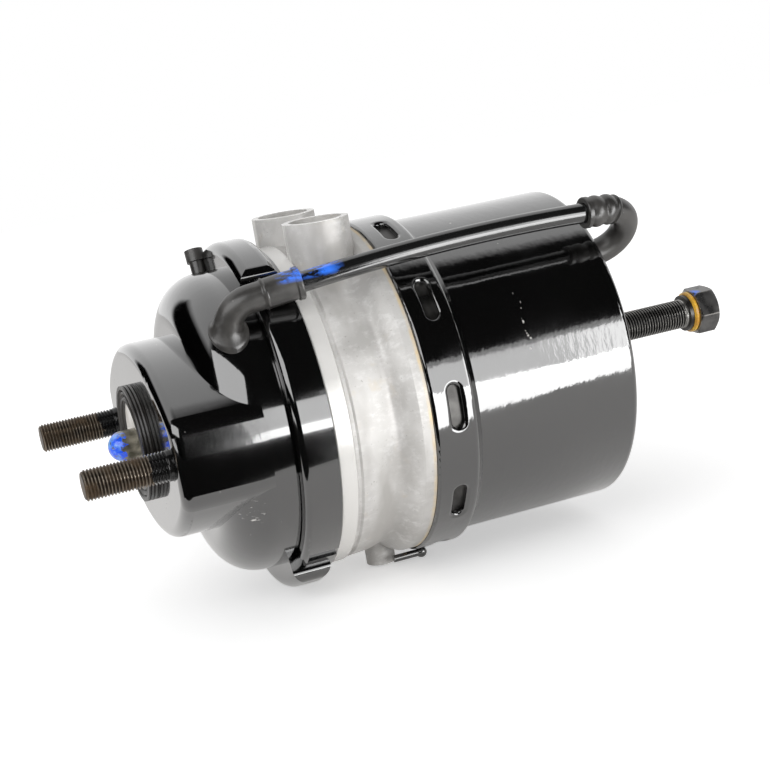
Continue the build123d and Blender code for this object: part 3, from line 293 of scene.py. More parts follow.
paper = Finish("table_paper", Roughness=0.9, Specular_IOR_Level=0.0, Emission_Color=(1.0, 1.0, 1.0))
ray = paper.add("LightPath").outputs
past_line = paper.maths("LESS_THAN", paper.measured("DOT_PRODUCT", CLOTH_ACROSS), CLOTH_LINE)
mirrored_cloth = paper.times(past_line, ray["Is Glossy Ray"])
colour = paper.blend(ray["Is Camera Ray"], TABLE_PALE, TABLE_SEEN)
foot = paper.maths("GREATER_THAN", paper.measured("DOT_PRODUCT", FOOT_ACROSS), FOOT_LINE)
glow = paper.blend(mirrored_cloth, TABLE_GLOW, paper.times(foot, FOOT_GLOW))
lift = paper.blend(paper.near(TABLE_MIDDLE, TABLE_NEAR, TABLE_FAR), TABLE_LIFT_FAR, TABLE_LIFT_NEAR)
paper.feed(Base_Color=paper.blend(mirrored_cloth, colour, (ROOM_DARK, ROOM_DARK, ROOM_DARK)),
           Emission_Strength=paper.blend(ray["Is Camera Ray"], glow, lift))
table.data.materials.append(paper.material)
print("table at z", TABLE_Z)

# %% [markdown]
# Every new piece is a skin over rings of points. A ring runs round the piece, the rings follow
# one another along it, and the two ends are closed by a fan to a middle point, so that the mesh
# holds water. If the enclosed volume comes out negative, the faces look inwards and are turned.

# %% Skins of rings
def ring_faces(rings, around):
    """Quads between rings of points, and a fan of triangles at each end."""
    row, column = np.meshgrid(np.arange(rings - 1), np.arange(around), indexing="ij")
    after = (column + 1) % around
    quads = np.stack([row * around + column, row * around + after,
                      (row + 1) * around + after, (row + 1) * around + column], axis=-1)
    spoke = np.arange(around)
    next_spoke = (spoke + 1) % around
    first_middle, last_middle = rings * around, rings * around + 1
    last_row = (rings - 1) * around
    first_fan = np.stack([np.full(around, first_middle), next_spoke, spoke], axis=-1)
    last_fan = np.stack([np.full(around, last_middle), last_row + spoke, last_row + next_spoke], axis=-1)
    return quads.reshape(-1, 4), np.vstack([first_fan, last_fan])


def signed_volume(points, quads, triangles):
    """Sum of the volumes between the origin and each triangle: positive if faces look out."""
    corners = np.vstack([quads[:, [0, 1, 2]], quads[:, [0, 2, 3]], triangles])
    a, b, c = points[corners[:, 0]], points[corners[:, 1]], points[corners[:, 2]]
    return float(np.einsum("ij,ij->i", a, np.cross(b, c)).sum() / 6)


def skin(name, grid, values=None, sharp_angle=35.0):
    """A closed mesh over a grid of points (rings, around, xyz). values holds one number for each
    point of the grid, kept as the attribute "relief" for the materials."""
    rings, around = grid.shape[:2]
    points = np.vstack([grid.reshape(-1, 3), grid[0].mean(axis=0), grid[-1].mean(axis=0)])
    quads, triangles = ring_faces(rings, around)
    if signed_volume(points, quads, triangles) < 0:
        quads, triangles = quads[:, ::-1], triangles[:, ::-1]
    mesh = bpy.data.meshes.new(name)
    mesh.vertices.add(len(points))
    mesh.vertices.foreach_set("co", points.astype(np.float32).ravel())
    corners = np.concatenate([quads.ravel(), triangles.ravel()])
    mesh.loops.add(len(corners))
    mesh.loops.foreach_set("vertex_index", corners.astype(np.int32))
    starts = np.concatenate([np.arange(len(quads)) * 4, quads.size + np.arange(len(triangles)) * 3])
    mesh.polygons.add(len(starts))
    mesh.polygons.foreach_set("loop_start", starts.astype(np.int32))
    mesh.update(calc_edges=True)
    mesh.validate()
    mesh.shade_smooth()
    mesh.set_sharp_from_angle(angle=np.radians(sharp_angle))
    if values is not None:
        relief = mesh.attributes.new("relief", "FLOAT", "POINT")
        ends = [values[0].mean(), values[-1].mean()]
        relief.data.foreach_set("value", np.concatenate([values.ravel(), ends]).astype(np.float32))
    piece = bpy.data.objects.new(name, mesh)
    bpy.context.scene.collection.objects.link(piece)
    print(name, len(points), "points", len(starts), "faces")
    return piece


def joined(name, pieces):
    """Several pieces made one object, under a new name."""
    with bpy.context.temp_override(active_object=pieces[0], selected_editable_objects=pieces):
        bpy.ops.object.join()
    pieces[0].name = name
    pieces[0].data.name = name
    return pieces[0]

# %% [markdown]
# A screw thread is a helical ridge. On a turned rod the height of the surface depends on one
# number only, the phase: how far along the axis a point is, in pitches, less how far round it
# is, in turns. A rolled thread has flats on its crests and in its roots, so the phase goes
# through a triangle wave that is cut off at both ends. Near the rod's ends the depth fades out.

# %% Turned and threaded pieces
AROUND = 56
STEPS_PER_PITCH = 12
FLANK_SLOPE, ROOT_FLAT = 2.6, 0.18


def turned_grid(x, surface_r, angle, centre_y=0.0):
    """Points about a line along X: (x, centre_y + r cos angle, r sin angle), in metres."""
    x, surface_r, angle = np.broadcast_arrays(x, surface_r, angle)
    return MM * np.stack([x, centre_y + surface_r * np.cos(angle), surface_r * np.sin(angle)], axis=-1)


def turned_piece(name, profile, centre_y=0.0):
    """A plain piece turned from a profile of (x, radius) points; its relief is 1 all over."""
    profile = np.array(profile)
    angle = 2 * np.pi * np.arange(AROUND) / AROUND
    grid = turned_grid(profile[:, :1], profile[:, 1:], angle, centre_y)
    return skin(name, grid, np.ones(grid.shape[:2]))


def thread_height(x, turn, pitch, first, last, fade):
    """0 in a root and 1 on a crest. Outside the threaded length first..last it is 1, so that
    the rod keeps its full radius there."""
    phase = np.mod(x / pitch - turn, 1.0)
    wave = np.clip(FLANK_SLOPE * np.abs(phase - 0.5) - ROOT_FLAT, 0.0, 1.0)
    inside = np.clip((x - first) / fade, 0, 1) * np.clip((last - x) / fade, 0, 1)
    return 1.0 - inside * (1.0 - wave)


def threaded_rod(name, centre_y, radius, depth, pitch, rod_first, rod_last, first, last, fade, limit):
    """A rod along X. limit(x) is the largest radius allowed at x, such as a chamfer or a shank;
    the surface is the lower of that limit and the thread."""
    rings = int((rod_last - rod_first) / pitch * STEPS_PER_PITCH)
    x = np.linspace(rod_first, rod_last, rings)[:, None]
    turn = (np.arange(AROUND) / AROUND)[None, :]
    height = thread_height(x, turn, pitch, first, last, fade)
    surface_r = np.minimum(radius - depth * (1.0 - height), limit(x))
    return skin(name, turned_grid(x, surface_r, 2 * np.pi * turn, centre_y), height)

# %% [markdown]
# The two studs hold the chamber to the brake caliper. They are M14 with a fine pitch of 1.5 mm,
# threaded from the chamfered tip almost to the mounting face. Inside the housing each one has a
# plain shoulder and a flat head, which are part of the same piece here.

# %% Mounting studs
STUD_R, STUD_PITCH, STUD_DEPTH = 7.0, 1.5, 0.86
STUD_TIP_X, THREAD_STOP_X = -39.0, -1.6
TIP_CHAMFER, TIP_SLOPE = 1.25, 1.1
STUD_HALF_SPACING = 60.325
SHOULDER_R, SHOULDER_END_X = 7.48, 2.9
STUD_HEAD_R, STUD_HEAD_END_X, STUD_HEAD_EDGE = 9.4, 5.7, 0.3


def stud_limit(x):
    """A chamfer at the tip, then the thread's diameter up to the mounting face."""
    return np.minimum(STUD_R - TIP_CHAMFER + TIP_SLOPE * np.clip(x - STUD_TIP_X, 0, None), STUD_R)


def stud(name, centre_y):
    """Thread on the free length, then a plain shoulder and a flat head inside the housing."""
    free = threaded_rod(name, centre_y, STUD_R, STUD_DEPTH, STUD_PITCH, STUD_TIP_X, 0.0,
                        STUD_TIP_X - 2, THREAD_STOP_X, 1.4, stud_limit)
    head = turned_piece(name + "_head", [
        (0.0, SHOULDER_R), (SHOULDER_END_X, SHOULDER_R), (SHOULDER_END_X + 0.05, STUD_HEAD_R - 0.2),
        (SHOULDER_END_X + STUD_HEAD_EDGE, STUD_HEAD_R), (STUD_HEAD_END_X - STUD_HEAD_EDGE, STUD_HEAD_R),
        (STUD_HEAD_END_X, STUD_HEAD_R - STUD_HEAD_EDGE)], centre_y)
    return joined(name, [free, head])


studs = joined("threaded_studs", [stud("near_stud", -STUD_HALF_SPACING),
                                  stud("far_stud", STUD_HALF_SPACING)])
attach(studs, "chamber")
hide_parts("mounting_studs")

# %% [markdown]
# The release bolt winds the power spring back when there is no air. It is a long fine-threaded
# bolt with a hexagon head of 22 mm across the flats. The head is a hexagon cut by a shallow cone
# at its outer corners, which gives the curved edges that every machined hexagon has.

# %% Release bolt
BOLT_R, BOLT_PITCH, BOLT_DEPTH = 7.5, 1.5, 0.86
BOLT_START_X, BOLT_THREAD_END_X, BOLT_HEAD_X, HEAD_THICK = 172.0, 288.6, 294.0, 11.0
HEX_ACROSS, HEX_TURN, HEX_CLEARANCE = 22.0, np.radians(6.0), 0.03
CONE_SLOPE, FRONT_CONE_R, BACK_CONE_R = 1.72, 11.0, 10.95
CORNER_WEAR, RIM_WEAR, RIM_SHINE = 0.07, 0.5, 0.7
COLLAR_R, COLLAR_END_X, COLLAR_EDGE = 11.0, 177.0, 0.5


def off_side(angle):
    """Angle from the middle of the nearest side of the hexagon, which is turned a little."""
    return np.mod(angle - HEX_TURN, np.pi / 3) - np.pi / 6


def bolt_shank():
    """The thread between the collar and the head."""
    return threaded_rod("bolt_shank", 0.0, BOLT_R - 0.01, BOLT_DEPTH, BOLT_PITCH, COLLAR_END_X,
                        BOLT_HEAD_X, COLLAR_END_X + 3, BOLT_THREAD_END_X, 2.0, lambda x: BOLT_R)


def bolt_collar():
    """A short disc on the inner end, with broken edges."""
    return turned_piece("bolt_collar", [
        (BOLT_START_X, COLLAR_R - COLLAR_EDGE), (BOLT_START_X + COLLAR_EDGE, COLLAR_R),
        (COLLAR_END_X - COLLAR_EDGE, COLLAR_R), (COLLAR_END_X, COLLAR_R - COLLAR_EDGE)])


def bolt_head():
    """Hexagon limited by a cone on each face: radius = lower of the hexagon's and the cone's."""
    around = 144
    edge = np.array([0.0, 0.25, 0.6, 1.0, 1.4])
    depth = np.concatenate([edge, [HEAD_THICK / 2], HEAD_THICK - edge[::-1]])
    cone = np.minimum(FRONT_CONE_R + CONE_SLOPE * depth, BACK_CONE_R + CONE_SLOPE * (HEAD_THICK - depth))
    angle = 2 * np.pi * np.arange(around) / around
    hexagon = HEX_ACROSS / 2 / np.cos(off_side(angle)) - HEX_CLEARANCE
    surface_r = np.minimum(hexagon[None, :], cone[:, None])
    grid = turned_grid((BOLT_HEAD_X + depth)[:, None], surface_r, angle)
    # The relief is 1 on the six long edges and round the rims, where the blacking is rubbed off
    long_edge = np.clip((np.abs(off_side(angle)) - np.pi / 6 + CORNER_WEAR) / CORNER_WEAR, 0, 1)
    rim = np.clip(1 - np.minimum(depth, HEAD_THICK - depth) / RIM_WEAR, 0, 1)
    relief = np.maximum(long_edge[None, :], RIM_SHINE * rim[:, None])
    return skin("bolt_head", grid, relief, sharp_angle=20.0)


bolt = joined("threaded_release_bolt", [bolt_shank(), bolt_collar(), bolt_head()])
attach(bolt, "release_bolt")
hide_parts("release_bolt")

# %% [markdown]
# The breather line starts and ends in moulded rubber elbows. Each is a tube carried along a line
# that lies in one plane: straight, then an arc, then straight again. The radius changes along
# the way. Beads stand at the mouths, shallow ribs keep the sleeve round, and the wall turns in at
# the mouth, where the pipe goes in.

# %% Rubber elbows
def planar_line(start, moves, step):
    """Points and directions along straight runs and arcs. start is a place, a heading and the
    side that arcs bend to; moves are ("run", length) and ("arc", radius, angle in degrees)."""
    place, heading, side = (np.array(value, float) for value in start)
    pieces = [(place[None], heading[None], side[None])]
    for move in moves:
        if move[0] == "run":
            share = np.linspace(0, 1, max(2, int(move[1] / step)) + 1)[1:, None]
            pieces.append((place + share * move[1] * heading, heading + 0 * share, side + 0 * share))
        else:
            radius, total = move[1], np.radians(move[2])
            turn = np.linspace(0, total, max(8, int(abs(total) * radius / step)) + 1)[1:, None]
            ahead, aside = heading * np.cos(turn), side * np.cos(turn)
            pieces.append((place + radius * (side - aside + heading * np.sin(turn)),
                           ahead + side * np.sin(turn), aside - heading * np.sin(turn)))
        place, heading, side = (part[-1] for part in pieces[-1])
    return tuple(np.vstack(parts) for parts in zip(*pieces))


def bead(s, centre, width, height):
    """A round bead at a place s along the line: a raised cosine, made fuller by a power."""
    near = np.clip(np.abs(s - centre) / (width / 2), 0, 1)
    return height * (0.5 + 0.5 * np.cos(np.pi * near)) ** 0.6


def rise(s, start, length):
    """Goes from 0 at start to 1 after the length."""
    return np.clip((s - start) / length, 0, 1)

# %% [markdown]
# The front elbow stands on the round housing with a flared foot, leans to the pipe's line, turns
# through about a quarter circle and becomes a sleeve. The foot has to follow the round wall it stands
# on, so its lowest rings are slid along the elbow's own direction until they touch that cylinder,
# and the slide fades out with height.

# %% Front elbow
HOUSING_R, FOOT_SINKS = 72.0, 0.25
PIPE_ANGLE = np.radians(41.7)
outward = np.array([0.0, -np.sin(PIPE_ANGLE), np.cos(PIPE_ANGLE)])
along_chamber = np.array([1.0, 0.0, 0.0])
FOOT_POINT = np.array([38.0, -51.792, 50.015])
FRONT_MOUTH = 72.5 * along_chamber + 88.4 * outward
FRONT_SLOPE = np.radians(9.035)
FRONT_BEND_R = 12.5
ELBOW_R, SLEEVE_R, MOUTH_BORE_R = 6.5, 6.9, 4.76
FOOT_R, FOOT_THICK, FLARE_HEIGHT, FOOT_FADE = 9.0, 1.2, 3.4, 6.5

front_heading = np.cos(FRONT_SLOPE) * along_chamber + np.sin(FRONT_SLOPE) * outward
elbow_corner = FRONT_MOUTH - front_heading * (FRONT_MOUTH[0] - FOOT_POINT[0]) / front_heading[0]
leg_length = float(np.linalg.norm(elbow_corner - FOOT_POINT))
leg_direction = (elbow_corner - FOOT_POINT) / leg_length
front_turn = float(np.arccos(leg_direction @ front_heading))
bend_reach = FRONT_BEND_R * np.tan(front_turn / 2)
front_sleeve = float(np.linalg.norm(FRONT_MOUTH - elbow_corner)) - bend_reach
bend_side = front_heading - leg_direction * (leg_direction @ front_heading)
bend_side /= np.linalg.norm(bend_side)


def elbow_mouth(line, radii, depth=5.0):
    """Adds the mouth's inner rings: the wall's end face and a short bore that closes inside."""
    end, heading, side = (part[-1] for part in line)
    back = np.array([0.0, 0.0, 0.25, depth])[:, None]
    inner = np.array([radii[-1] - 0.5, MOUTH_BORE_R + 0.4, MOUTH_BORE_R, MOUTH_BORE_R])
    added = (end - back * heading, heading + 0 * back, side + 0 * back)
    return tuple(np.vstack(parts) for parts in zip(line, added)), np.concatenate([radii, inner])


def circles_along(line, radii, around=72):
    """Grid of circles across a planar line: place + radius x (cos x side + sin x third)."""
    places, headings, sides = (part[:, None, :] for part in line)
    angle = (2 * np.pi * np.arange(around) / around)[None, :, None]
    across = np.cos(angle) * sides + np.sin(angle) * np.cross(headings, sides)
    return places + radii[:, None, None] * across


def distance_along(places):
    """Length of the line up to each of its points."""
    return np.concatenate([[0], np.cumsum(np.linalg.norm(np.diff(places, axis=0), axis=1))])


def front_elbow_r(s, total):
    """Flared foot, plain bend, a thin ring where the sleeve starts, and a lip at the mouth."""
    flare = (FOOT_R - ELBOW_R) * (1 - rise(s, FOOT_THICK, FLARE_HEIGHT)) ** 2.2
    sleeve = (SLEEVE_R - ELBOW_R) * rise(s, total - 18.4, 1.5)
    ring = bead(s, total - 17.2, 1.6, 0.6)
    lip = 0.75 * rise(s, total - 3.0, 0.5) - 0.45 * rise(s, total - 0.6, 0.6) ** 2
    return ELBOW_R + flare + sleeve + ring + lip


def front_elbow():
    """The foot's rings slide along the leg onto the drum; the rest is a plain tube."""
    start = (FOOT_POINT, leg_direction, bend_side)
    line = planar_line(start, [("run", leg_length - bend_reach),
                               ("arc", FRONT_BEND_R, np.degrees(front_turn)),
                               ("run", front_sleeve)], 0.35)
    s = distance_along(line[0])
    line, radii = elbow_mouth(line, front_elbow_r(s, s[-1]))
    grid = circles_along(line, radii)
    # How far each point of the foot has to slide to lie just under the housing's surface
    across = grid[..., 1:] @ leg_direction[1:]
    off_axis = (grid[..., 1:] ** 2).sum(axis=-1) - (HOUSING_R - FOOT_SINKS) ** 2
    slide = -across + np.sqrt(np.clip(across ** 2 - off_axis, 0, None))
    height = (grid - FOOT_POINT) @ leg_direction
    low = (np.arange(len(radii)) < np.searchsorted(s, FOOT_FADE))[:, None]
    share = np.clip(1 - height / FOOT_FADE, 0, 1) * low
    grid = grid + (share * (slide + height))[..., None] * leg_direction
    return skin("front_rubber_elbow", grid * MM)


front_rubber = front_elbow()
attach(front_rubber, "chamber")
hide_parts("front_elbow")

# %% [markdown]
# The rear elbow turns straight back into the end cap, so its bend is half a circle. Its sleeve is
# pinched by two grooves, so the rubber bulges between them, and a thicker dark lip frames the
# mouth.

# %% Rear elbow
REAR_MOUTH = 210.5 * along_chamber + 94.6 * outward
REAR_SLOPE = np.radians(-3.891)
REAR_BEND_R, REAR_SLEEVE, PLAIN_BEND_R = 14.758, 11.33, 6.25
rear_heading = np.cos(REAR_SLOPE) * along_chamber + np.sin(REAR_SLOPE) * outward
rear_side = np.sin(REAR_SLOPE) * along_chamber - np.cos(REAR_SLOPE) * outward


def rear_elbow_r(s, total):
    """The lip of the mouth, bulges between grooves, a thin ring, the plain bend and its foot."""
    lip = 1.1 * (1 - rise(s, 2.25, 0.35)) - 0.4 * (1 - rise(s, 0.0, 0.5)) ** 2
    bulges = bead(s, 6.2, 7.4, 1.15) + bead(s, 12.2, 5.4, 0.95)
    return PLAIN_BEND_R + lip + bulges + bead(s, 15.6, 1.4, 0.75) + bead(s, total - 0.8, 2.4, 0.4)


def rear_elbow():
    """From the mouth that holds the pipe, back round to the end cap; the mouth's wall turns in."""
    bend = 180.0 + np.degrees(REAR_SLOPE)
    line = planar_line((REAR_MOUTH, rear_heading, rear_side),
                       [("run", REAR_SLEEVE), ("arc", REAR_BEND_R, bend), ("run", 0.6)], 0.3)
    s = distance_along(line[0])
    radii = rear_elbow_r(s, s[-1])
    turned_about = tuple(np.flip(part, axis=0) * sign for part, sign in zip(line, (1, -1, 1)))
    line, radii = elbow_mouth(turned_about, radii[::-1])
    return skin("rear_rubber_elbow", circles_along(line, radii) * MM)


rear_rubber = rear_elbow()
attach(rear_rubber, "chamber")
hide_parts("rear_elbow")

# %% [markdown]
# Finishes are made from a few shared effects, each a node group that is built once and placed in
# every material that needs it. All of them read Object coordinates. Every object of this part
# sits at the origin, so the coordinates are the same metres for all pieces, and a pattern runs on
# from one piece to the next.

# %% Shared effect: grain
def shared_effect(name, inputs, outputs):
    """A node group with number sockets; inputs are names with their usual values. Gives back the
    net inside it, what it is given and what it puts out."""
    group = bpy.data.node_groups.new(name, "ShaderNodeTree")
    for label, value in inputs.items():
        socket = group.interface.new_socket(label, in_out="INPUT", socket_type="NodeSocketFloat")
        socket.default_value = value
    for label in outputs:
        group.interface.new_socket(label, in_out="OUTPUT", socket_type="NodeSocketFloat")
    given = group.nodes.new("NodeGroupInput").outputs
    result = group.nodes.new("NodeGroupOutput").inputs
    print("effect:", name)
    return Patterns(group), given, result


inside, given, result = shared_effect("grain", {"Fine Scale": 900.0, "Coarse Scale": 60.0},
                                      ("Fine", "Coarse"))
inside.put(inside.noise(given["Fine Scale"], 3.0, 0.6), result["Fine"])
inside.put(inside.noise(given["Coarse Scale"], 5.0, 0.5), result["Coarse"])
GRAIN = inside.tree

# %% [markdown]
# Dust settles as separate specks, more of them on surfaces that face up. A speck is the middle
# of a Voronoi cell; its own random value decides whether that cell has one at all.

# %% Shared effect: dust specks
FACES_DOWN, FACES_UP = -0.6, 0.8
SHARE_BELOW = 0.25

inside, given, result = shared_effect("dust", {"Scale": 420.0, "Share": 0.12, "Size": 0.22}, ("Mask",))
cells = inside.fill(inside.add("TexVoronoi", inside.place, feature="F1"), Scale=given["Scale"])
chance = inside.add("SeparateColor", cells.outputs["Color"])
has_speck = inside.maths("LESS_THAN", chance.outputs["Red"], given["Share"])
speck_r = inside.maths("MULTIPLY", chance.outputs["Green"], given["Size"])
in_speck = inside.maths("LESS_THAN", cells.outputs["Distance"], speck_r)
upwards = inside.axis("Z", inside.add("NewGeometry").outputs["Normal"])
up_share = inside.between(upwards, FACES_DOWN, FACES_UP, SHARE_BELOW, 1.0)
inside.put(inside.times(has_speck, in_speck, up_share), result["Mask"])
DUST = inside.tree

# %% [markdown]
# Almost every finish varies with the grain: the fine one gives its tooth and the coarse one its
# clouds. Only what changes from place to place comes through nodes.

# %% Grain of a finish
def grains(finish, fine_scale, coarse_scale):
    """Places the shared grain and gives back its fine and its coarse value."""
    outputs = finish.effect(GRAIN, Fine_Scale=fine_scale, Coarse_Scale=coarse_scale)
    return outputs["Fine"], outputs["Coarse"]


def clouded(finish, coarse, low, high):
    """Roughness that goes from low to high with the clouds."""
    return finish.between(coarse, 0.3, 0.7, low, high)

# %% [markdown]
# The housing and the spring cylinder are dipped in gloss black paint. The colour is almost
# nothing; what makes it paint is a sharp coat over a slightly softer layer, an orange peel too
# shallow to see except at the edge of a highlight, the faint waves of the drawn sheet below it,
# a little dust, a chain of chips on the cylinder and a rubbed place under the housing.

# %% Gloss black paint
PAINT_BLACK, BARE_SPOT, BARE_ROUGHNESS = (0.0012, 0.0012, 0.0012), (0.45, 0.44, 0.42), 0.7
CHAIN_X, CHAIN_HALF_WIDTH = 0.1697, 0.0011
CHAIN_BOTTOM, CHAIN_TOP = (0.0150, 0.0180), (0.0400, 0.0430)
RUBBED_PLACE, RUBBED_INNER, RUBBED_OUTER = (0.0310, -0.0620, -0.0305), 0.003, 0.011
RUBBED_STRETCH, DRAWN_STRETCH = (0.5, 1.0, 2.2), (2.6, 1.0, 1.0)


def paint_damage(paint):
    """Where the paint isn't clean: dust, chips in a chain on the near side, a rubbed place."""
    specks = paint.effect(DUST, Scale=300.0, Share=0.05, Size=0.16)["Mask"]
    chips = paint.times(paint.effect(DUST, Scale=430.0, Share=0.85, Size=0.50)["Mask"],
                        paint.maths("COMPARE", paint.axis("X"), CHAIN_X, CHAIN_HALF_WIDTH),
                        paint.maths("LESS_THAN", paint.axis("Y"), 0.0),
                        paint.between(paint.axis("Z"), *CHAIN_BOTTOM),
                        paint.between(paint.axis("Z"), *CHAIN_TOP, 1.0, 0.0))
    rubbed = paint.times(paint.near(RUBBED_PLACE, RUBBED_INNER, RUBBED_OUTER),
                         paint.between(paint.noise(300.0, 3.0, 0.6, RUBBED_STRETCH), 0.60, 0.68))
    return paint.maths("MAXIMUM", paint.maths("MAXIMUM", specks, rubbed), chips)


def black_paint(name, drawn, wavy, soft):
    """Gloss paint over drawn sheet steel. drawn and wavy say how strongly the fine drawing marks
    and the long waves show, and soft is the roughness of the top coat."""
    paint = Finish(name, Base_Color=PAINT_BLACK, Metallic=0.0, Roughness=0.10, Specular_IOR_Level=1.0,
                   Coat_Weight=1.0, Coat_Roughness=soft, Coat_IOR=1.75)
    fine, coarse = grains(paint, 380.0, 34.0)
    damage = paint_damage(paint)
    smudged = paint.between(coarse, 0.35, 0.75, 0.05, 0.17)
    waves = paint.raised(paint.noise(22.0, 2.0, 0.4), wavy, 0.0010)
    marks = paint.raised(paint.noise(150.0, 3.0, 0.5, DRAWN_STRETCH), drawn, 0.00035, waves)
    paint.feed(Base_Color=paint.blend(damage, PAINT_BLACK, BARE_SPOT),
               Roughness=paint.blend(damage, smudged, BARE_ROUGHNESS),
               Coat_Normal=marks, Normal=paint.raised(fine, 0.10, 0.00010, marks))
    return paint.material


housing_paint = black_paint("housing_paint", drawn=0.02, wavy=0.14, soft=0.045)
cylinder_paint = black_paint("cylinder_paint", drawn=0.22, wavy=0.50, soft=0.06)

# %% [markdown]
# The flange is cast aluminium. Its skin is matt and a little warm, with fine pits from the mould,
# frosty flow marks and cloudy patches, and a yellow tint where it meets the crimp. The band
# beside the housing and the tops of the ports are turned or faced, so they are brighter and
# carry fine lines.

# %% Cast aluminium
FRONT_BAND_START, FRONT_BAND_END = (0.0700, 0.0702), (0.0780, 0.0784)
FACED_TOP, LIP_START = (0.08855, 0.08865), (0.1134, 0.1140)
CAST_DARK, CAST_PALE, CAST_WARM = (0.44, 0.43, 0.415), (0.62, 0.61, 0.595), (0.56, 0.50, 0.41)
FROST, PIT, FOLD_SHADE = (0.74, 0.735, 0.725), (0.30, 0.285, 0.265), (0.43, 0.418, 0.40)
LIP_YELLOW, TURNED_BRIGHT = (0.66, 0.52, 0.30), (0.70, 0.69, 0.67)
FLOW_STRETCH, FOLD_SHADE_STRETCH = (0.55, 1.0, 1.0), (1.6, 0.6, 0.6)


def cast_colour(cast, coarse):
    """The cast skin: clouds, warm patches, flow marks, pits, streaks of painted shade for the folds, and
    the yellow lip.
    """
    colour = cast.blend(cast.between(coarse, 0.34, 0.68), CAST_DARK, CAST_PALE)
    colour = cast.blend(cast.between(cast.noise(75.0, 6.0, 0.6), 0.60, 0.80), colour, CAST_WARM)
    flow = cast.noise(210.0, 8.0, 0.72, FLOW_STRETCH)
    colour = cast.blend(cast.between(flow, 0.50, 0.80), colour, FROST)
    colour = cast.blend(cast.between(cast.noise(640.0, 4.0, 0.7), 0.63, 0.74), colour, PIT)
    # Painted shade: darker streaks of noise stand in for the shade in the casting's folds and recesses.
    painted_fold_shade = cast.noise(38.0, 3.0, 0.5, FOLD_SHADE_STRETCH)
    colour = cast.blend(cast.between(painted_fold_shade, 0.34, 0.52), FOLD_SHADE, colour)
    patches = cast.between(cast.noise(90.0), 0.40, 0.60, 0.25, 0.85)
    lip = cast.times(cast.between(cast.axis("X"), *LIP_START), patches)
    return cast.blend(lip, colour, LIP_YELLOW)


def cast_aluminium():
    """The cast skin, with machined zones picked out by their place."""
    cast = Finish("cast_aluminium", Base_Color=(0.80, 0.79, 0.77), Metallic=0.30, Roughness=0.45)
    fine, coarse = grains(cast, 1300.0, 42.0)
    front_band = cast.times(cast.between(cast.axis("X"), *FRONT_BAND_START),
                            cast.between(cast.axis("X"), *FRONT_BAND_END, 1.0, 0.0))
    machined = cast.maths("MAXIMUM", front_band, cast.between(cast.axis("Z"), *FACED_TOP))
    relief = cast.blend(machined, fine, cast.rings(700.0, 0.6))
    cast.feed(Base_Color=cast.blend(machined, cast_colour(cast, coarse), TURNED_BRIGHT),
              Roughness=cast.blend(machined, clouded(cast, coarse, 0.44, 0.60), 0.24),
              Normal=cast.raised(relief, 0.30, 0.00016, cast.raised(coarse, 0.35, 0.0014)))
    return cast.material


aluminium = cast_aluminium()

# %% [markdown]
# Both threads show their shape through the metal as well: crests are rubbed bright, roots stay
# dark with oil and phosphate. The pieces carry their relief as an attribute, 0 in a root and 1
# on a crest, and the finishes read it. The studs were masked badly when the housing was painted,
# so the paint runs a few turns up each thread.

# %% Stud finish
STUD_PAINT_EDGE = (-0.0098, -0.0092)


def relief_of(finish):
    """The relief that the new pieces carry."""
    return finish.add("Attribute", attribute_name="relief").outputs["Fac"]


def ragged_x(finish, scale, detail, spread, by):
    """The place along X, pushed to and fro by noise, for edges that aren't straight."""
    push = finish.between(finish.noise(scale, detail), 0.5 - spread, 0.5 + spread, -by, by)
    return finish.maths("ADD", finish.axis("X"), push)


def stud_finish():
    """Brown phosphate, brighter crests, and gloss paint next to the mounting face."""
    metal = Finish("phosphated_stud", Base_Color=(0.22, 0.18, 0.14), Metallic=0.85, Roughness=0.42,
                   Coat_Roughness=0.05)
    fine, coarse = grains(metal, 1500.0, 170.0)
    crest = metal.between(relief_of(metal), 0.35, 1.0)
    colour = metal.blend(crest, (0.055, 0.042, 0.032), (0.40, 0.345, 0.285))
    colour = metal.blend(metal.between(coarse, 0.42, 0.66), colour, (0.17, 0.125, 0.085))
    painted = metal.between(ragged_x(metal, 260.0, 3.0, 0.2, 0.0016), *STUD_PAINT_EDGE)
    metal.feed(Base_Color=metal.blend(painted, colour, (0.006, 0.006, 0.006)),
               Metallic=metal.blend(painted, 0.9, 0.0),
               Roughness=metal.blend(painted, clouded(metal, coarse, 0.34, 0.52), 0.09),
               Normal=metal.raised(fine, 0.25, 0.00006))
    return metal.material


stud_metal = stud_finish()

# %% [markdown]
# The bolt is oiled, and its head is blackened. The blacking is rubbed off along the edges, a drilled dot
# in one side of the hexagon is a near-black disc of painted shade, and an inspector's blue dab lies
# beside it.

# %% Bolt finish
HEAD_START = (0.2938, 0.2940)
DRILLED_DOT_SHADE, DAB_PLACE, DAB_BLUE = (0.3002, 0.0008, 0.0111), (0.2950, -0.0044, 0.0108), (0.02, 0.16, 0.85)


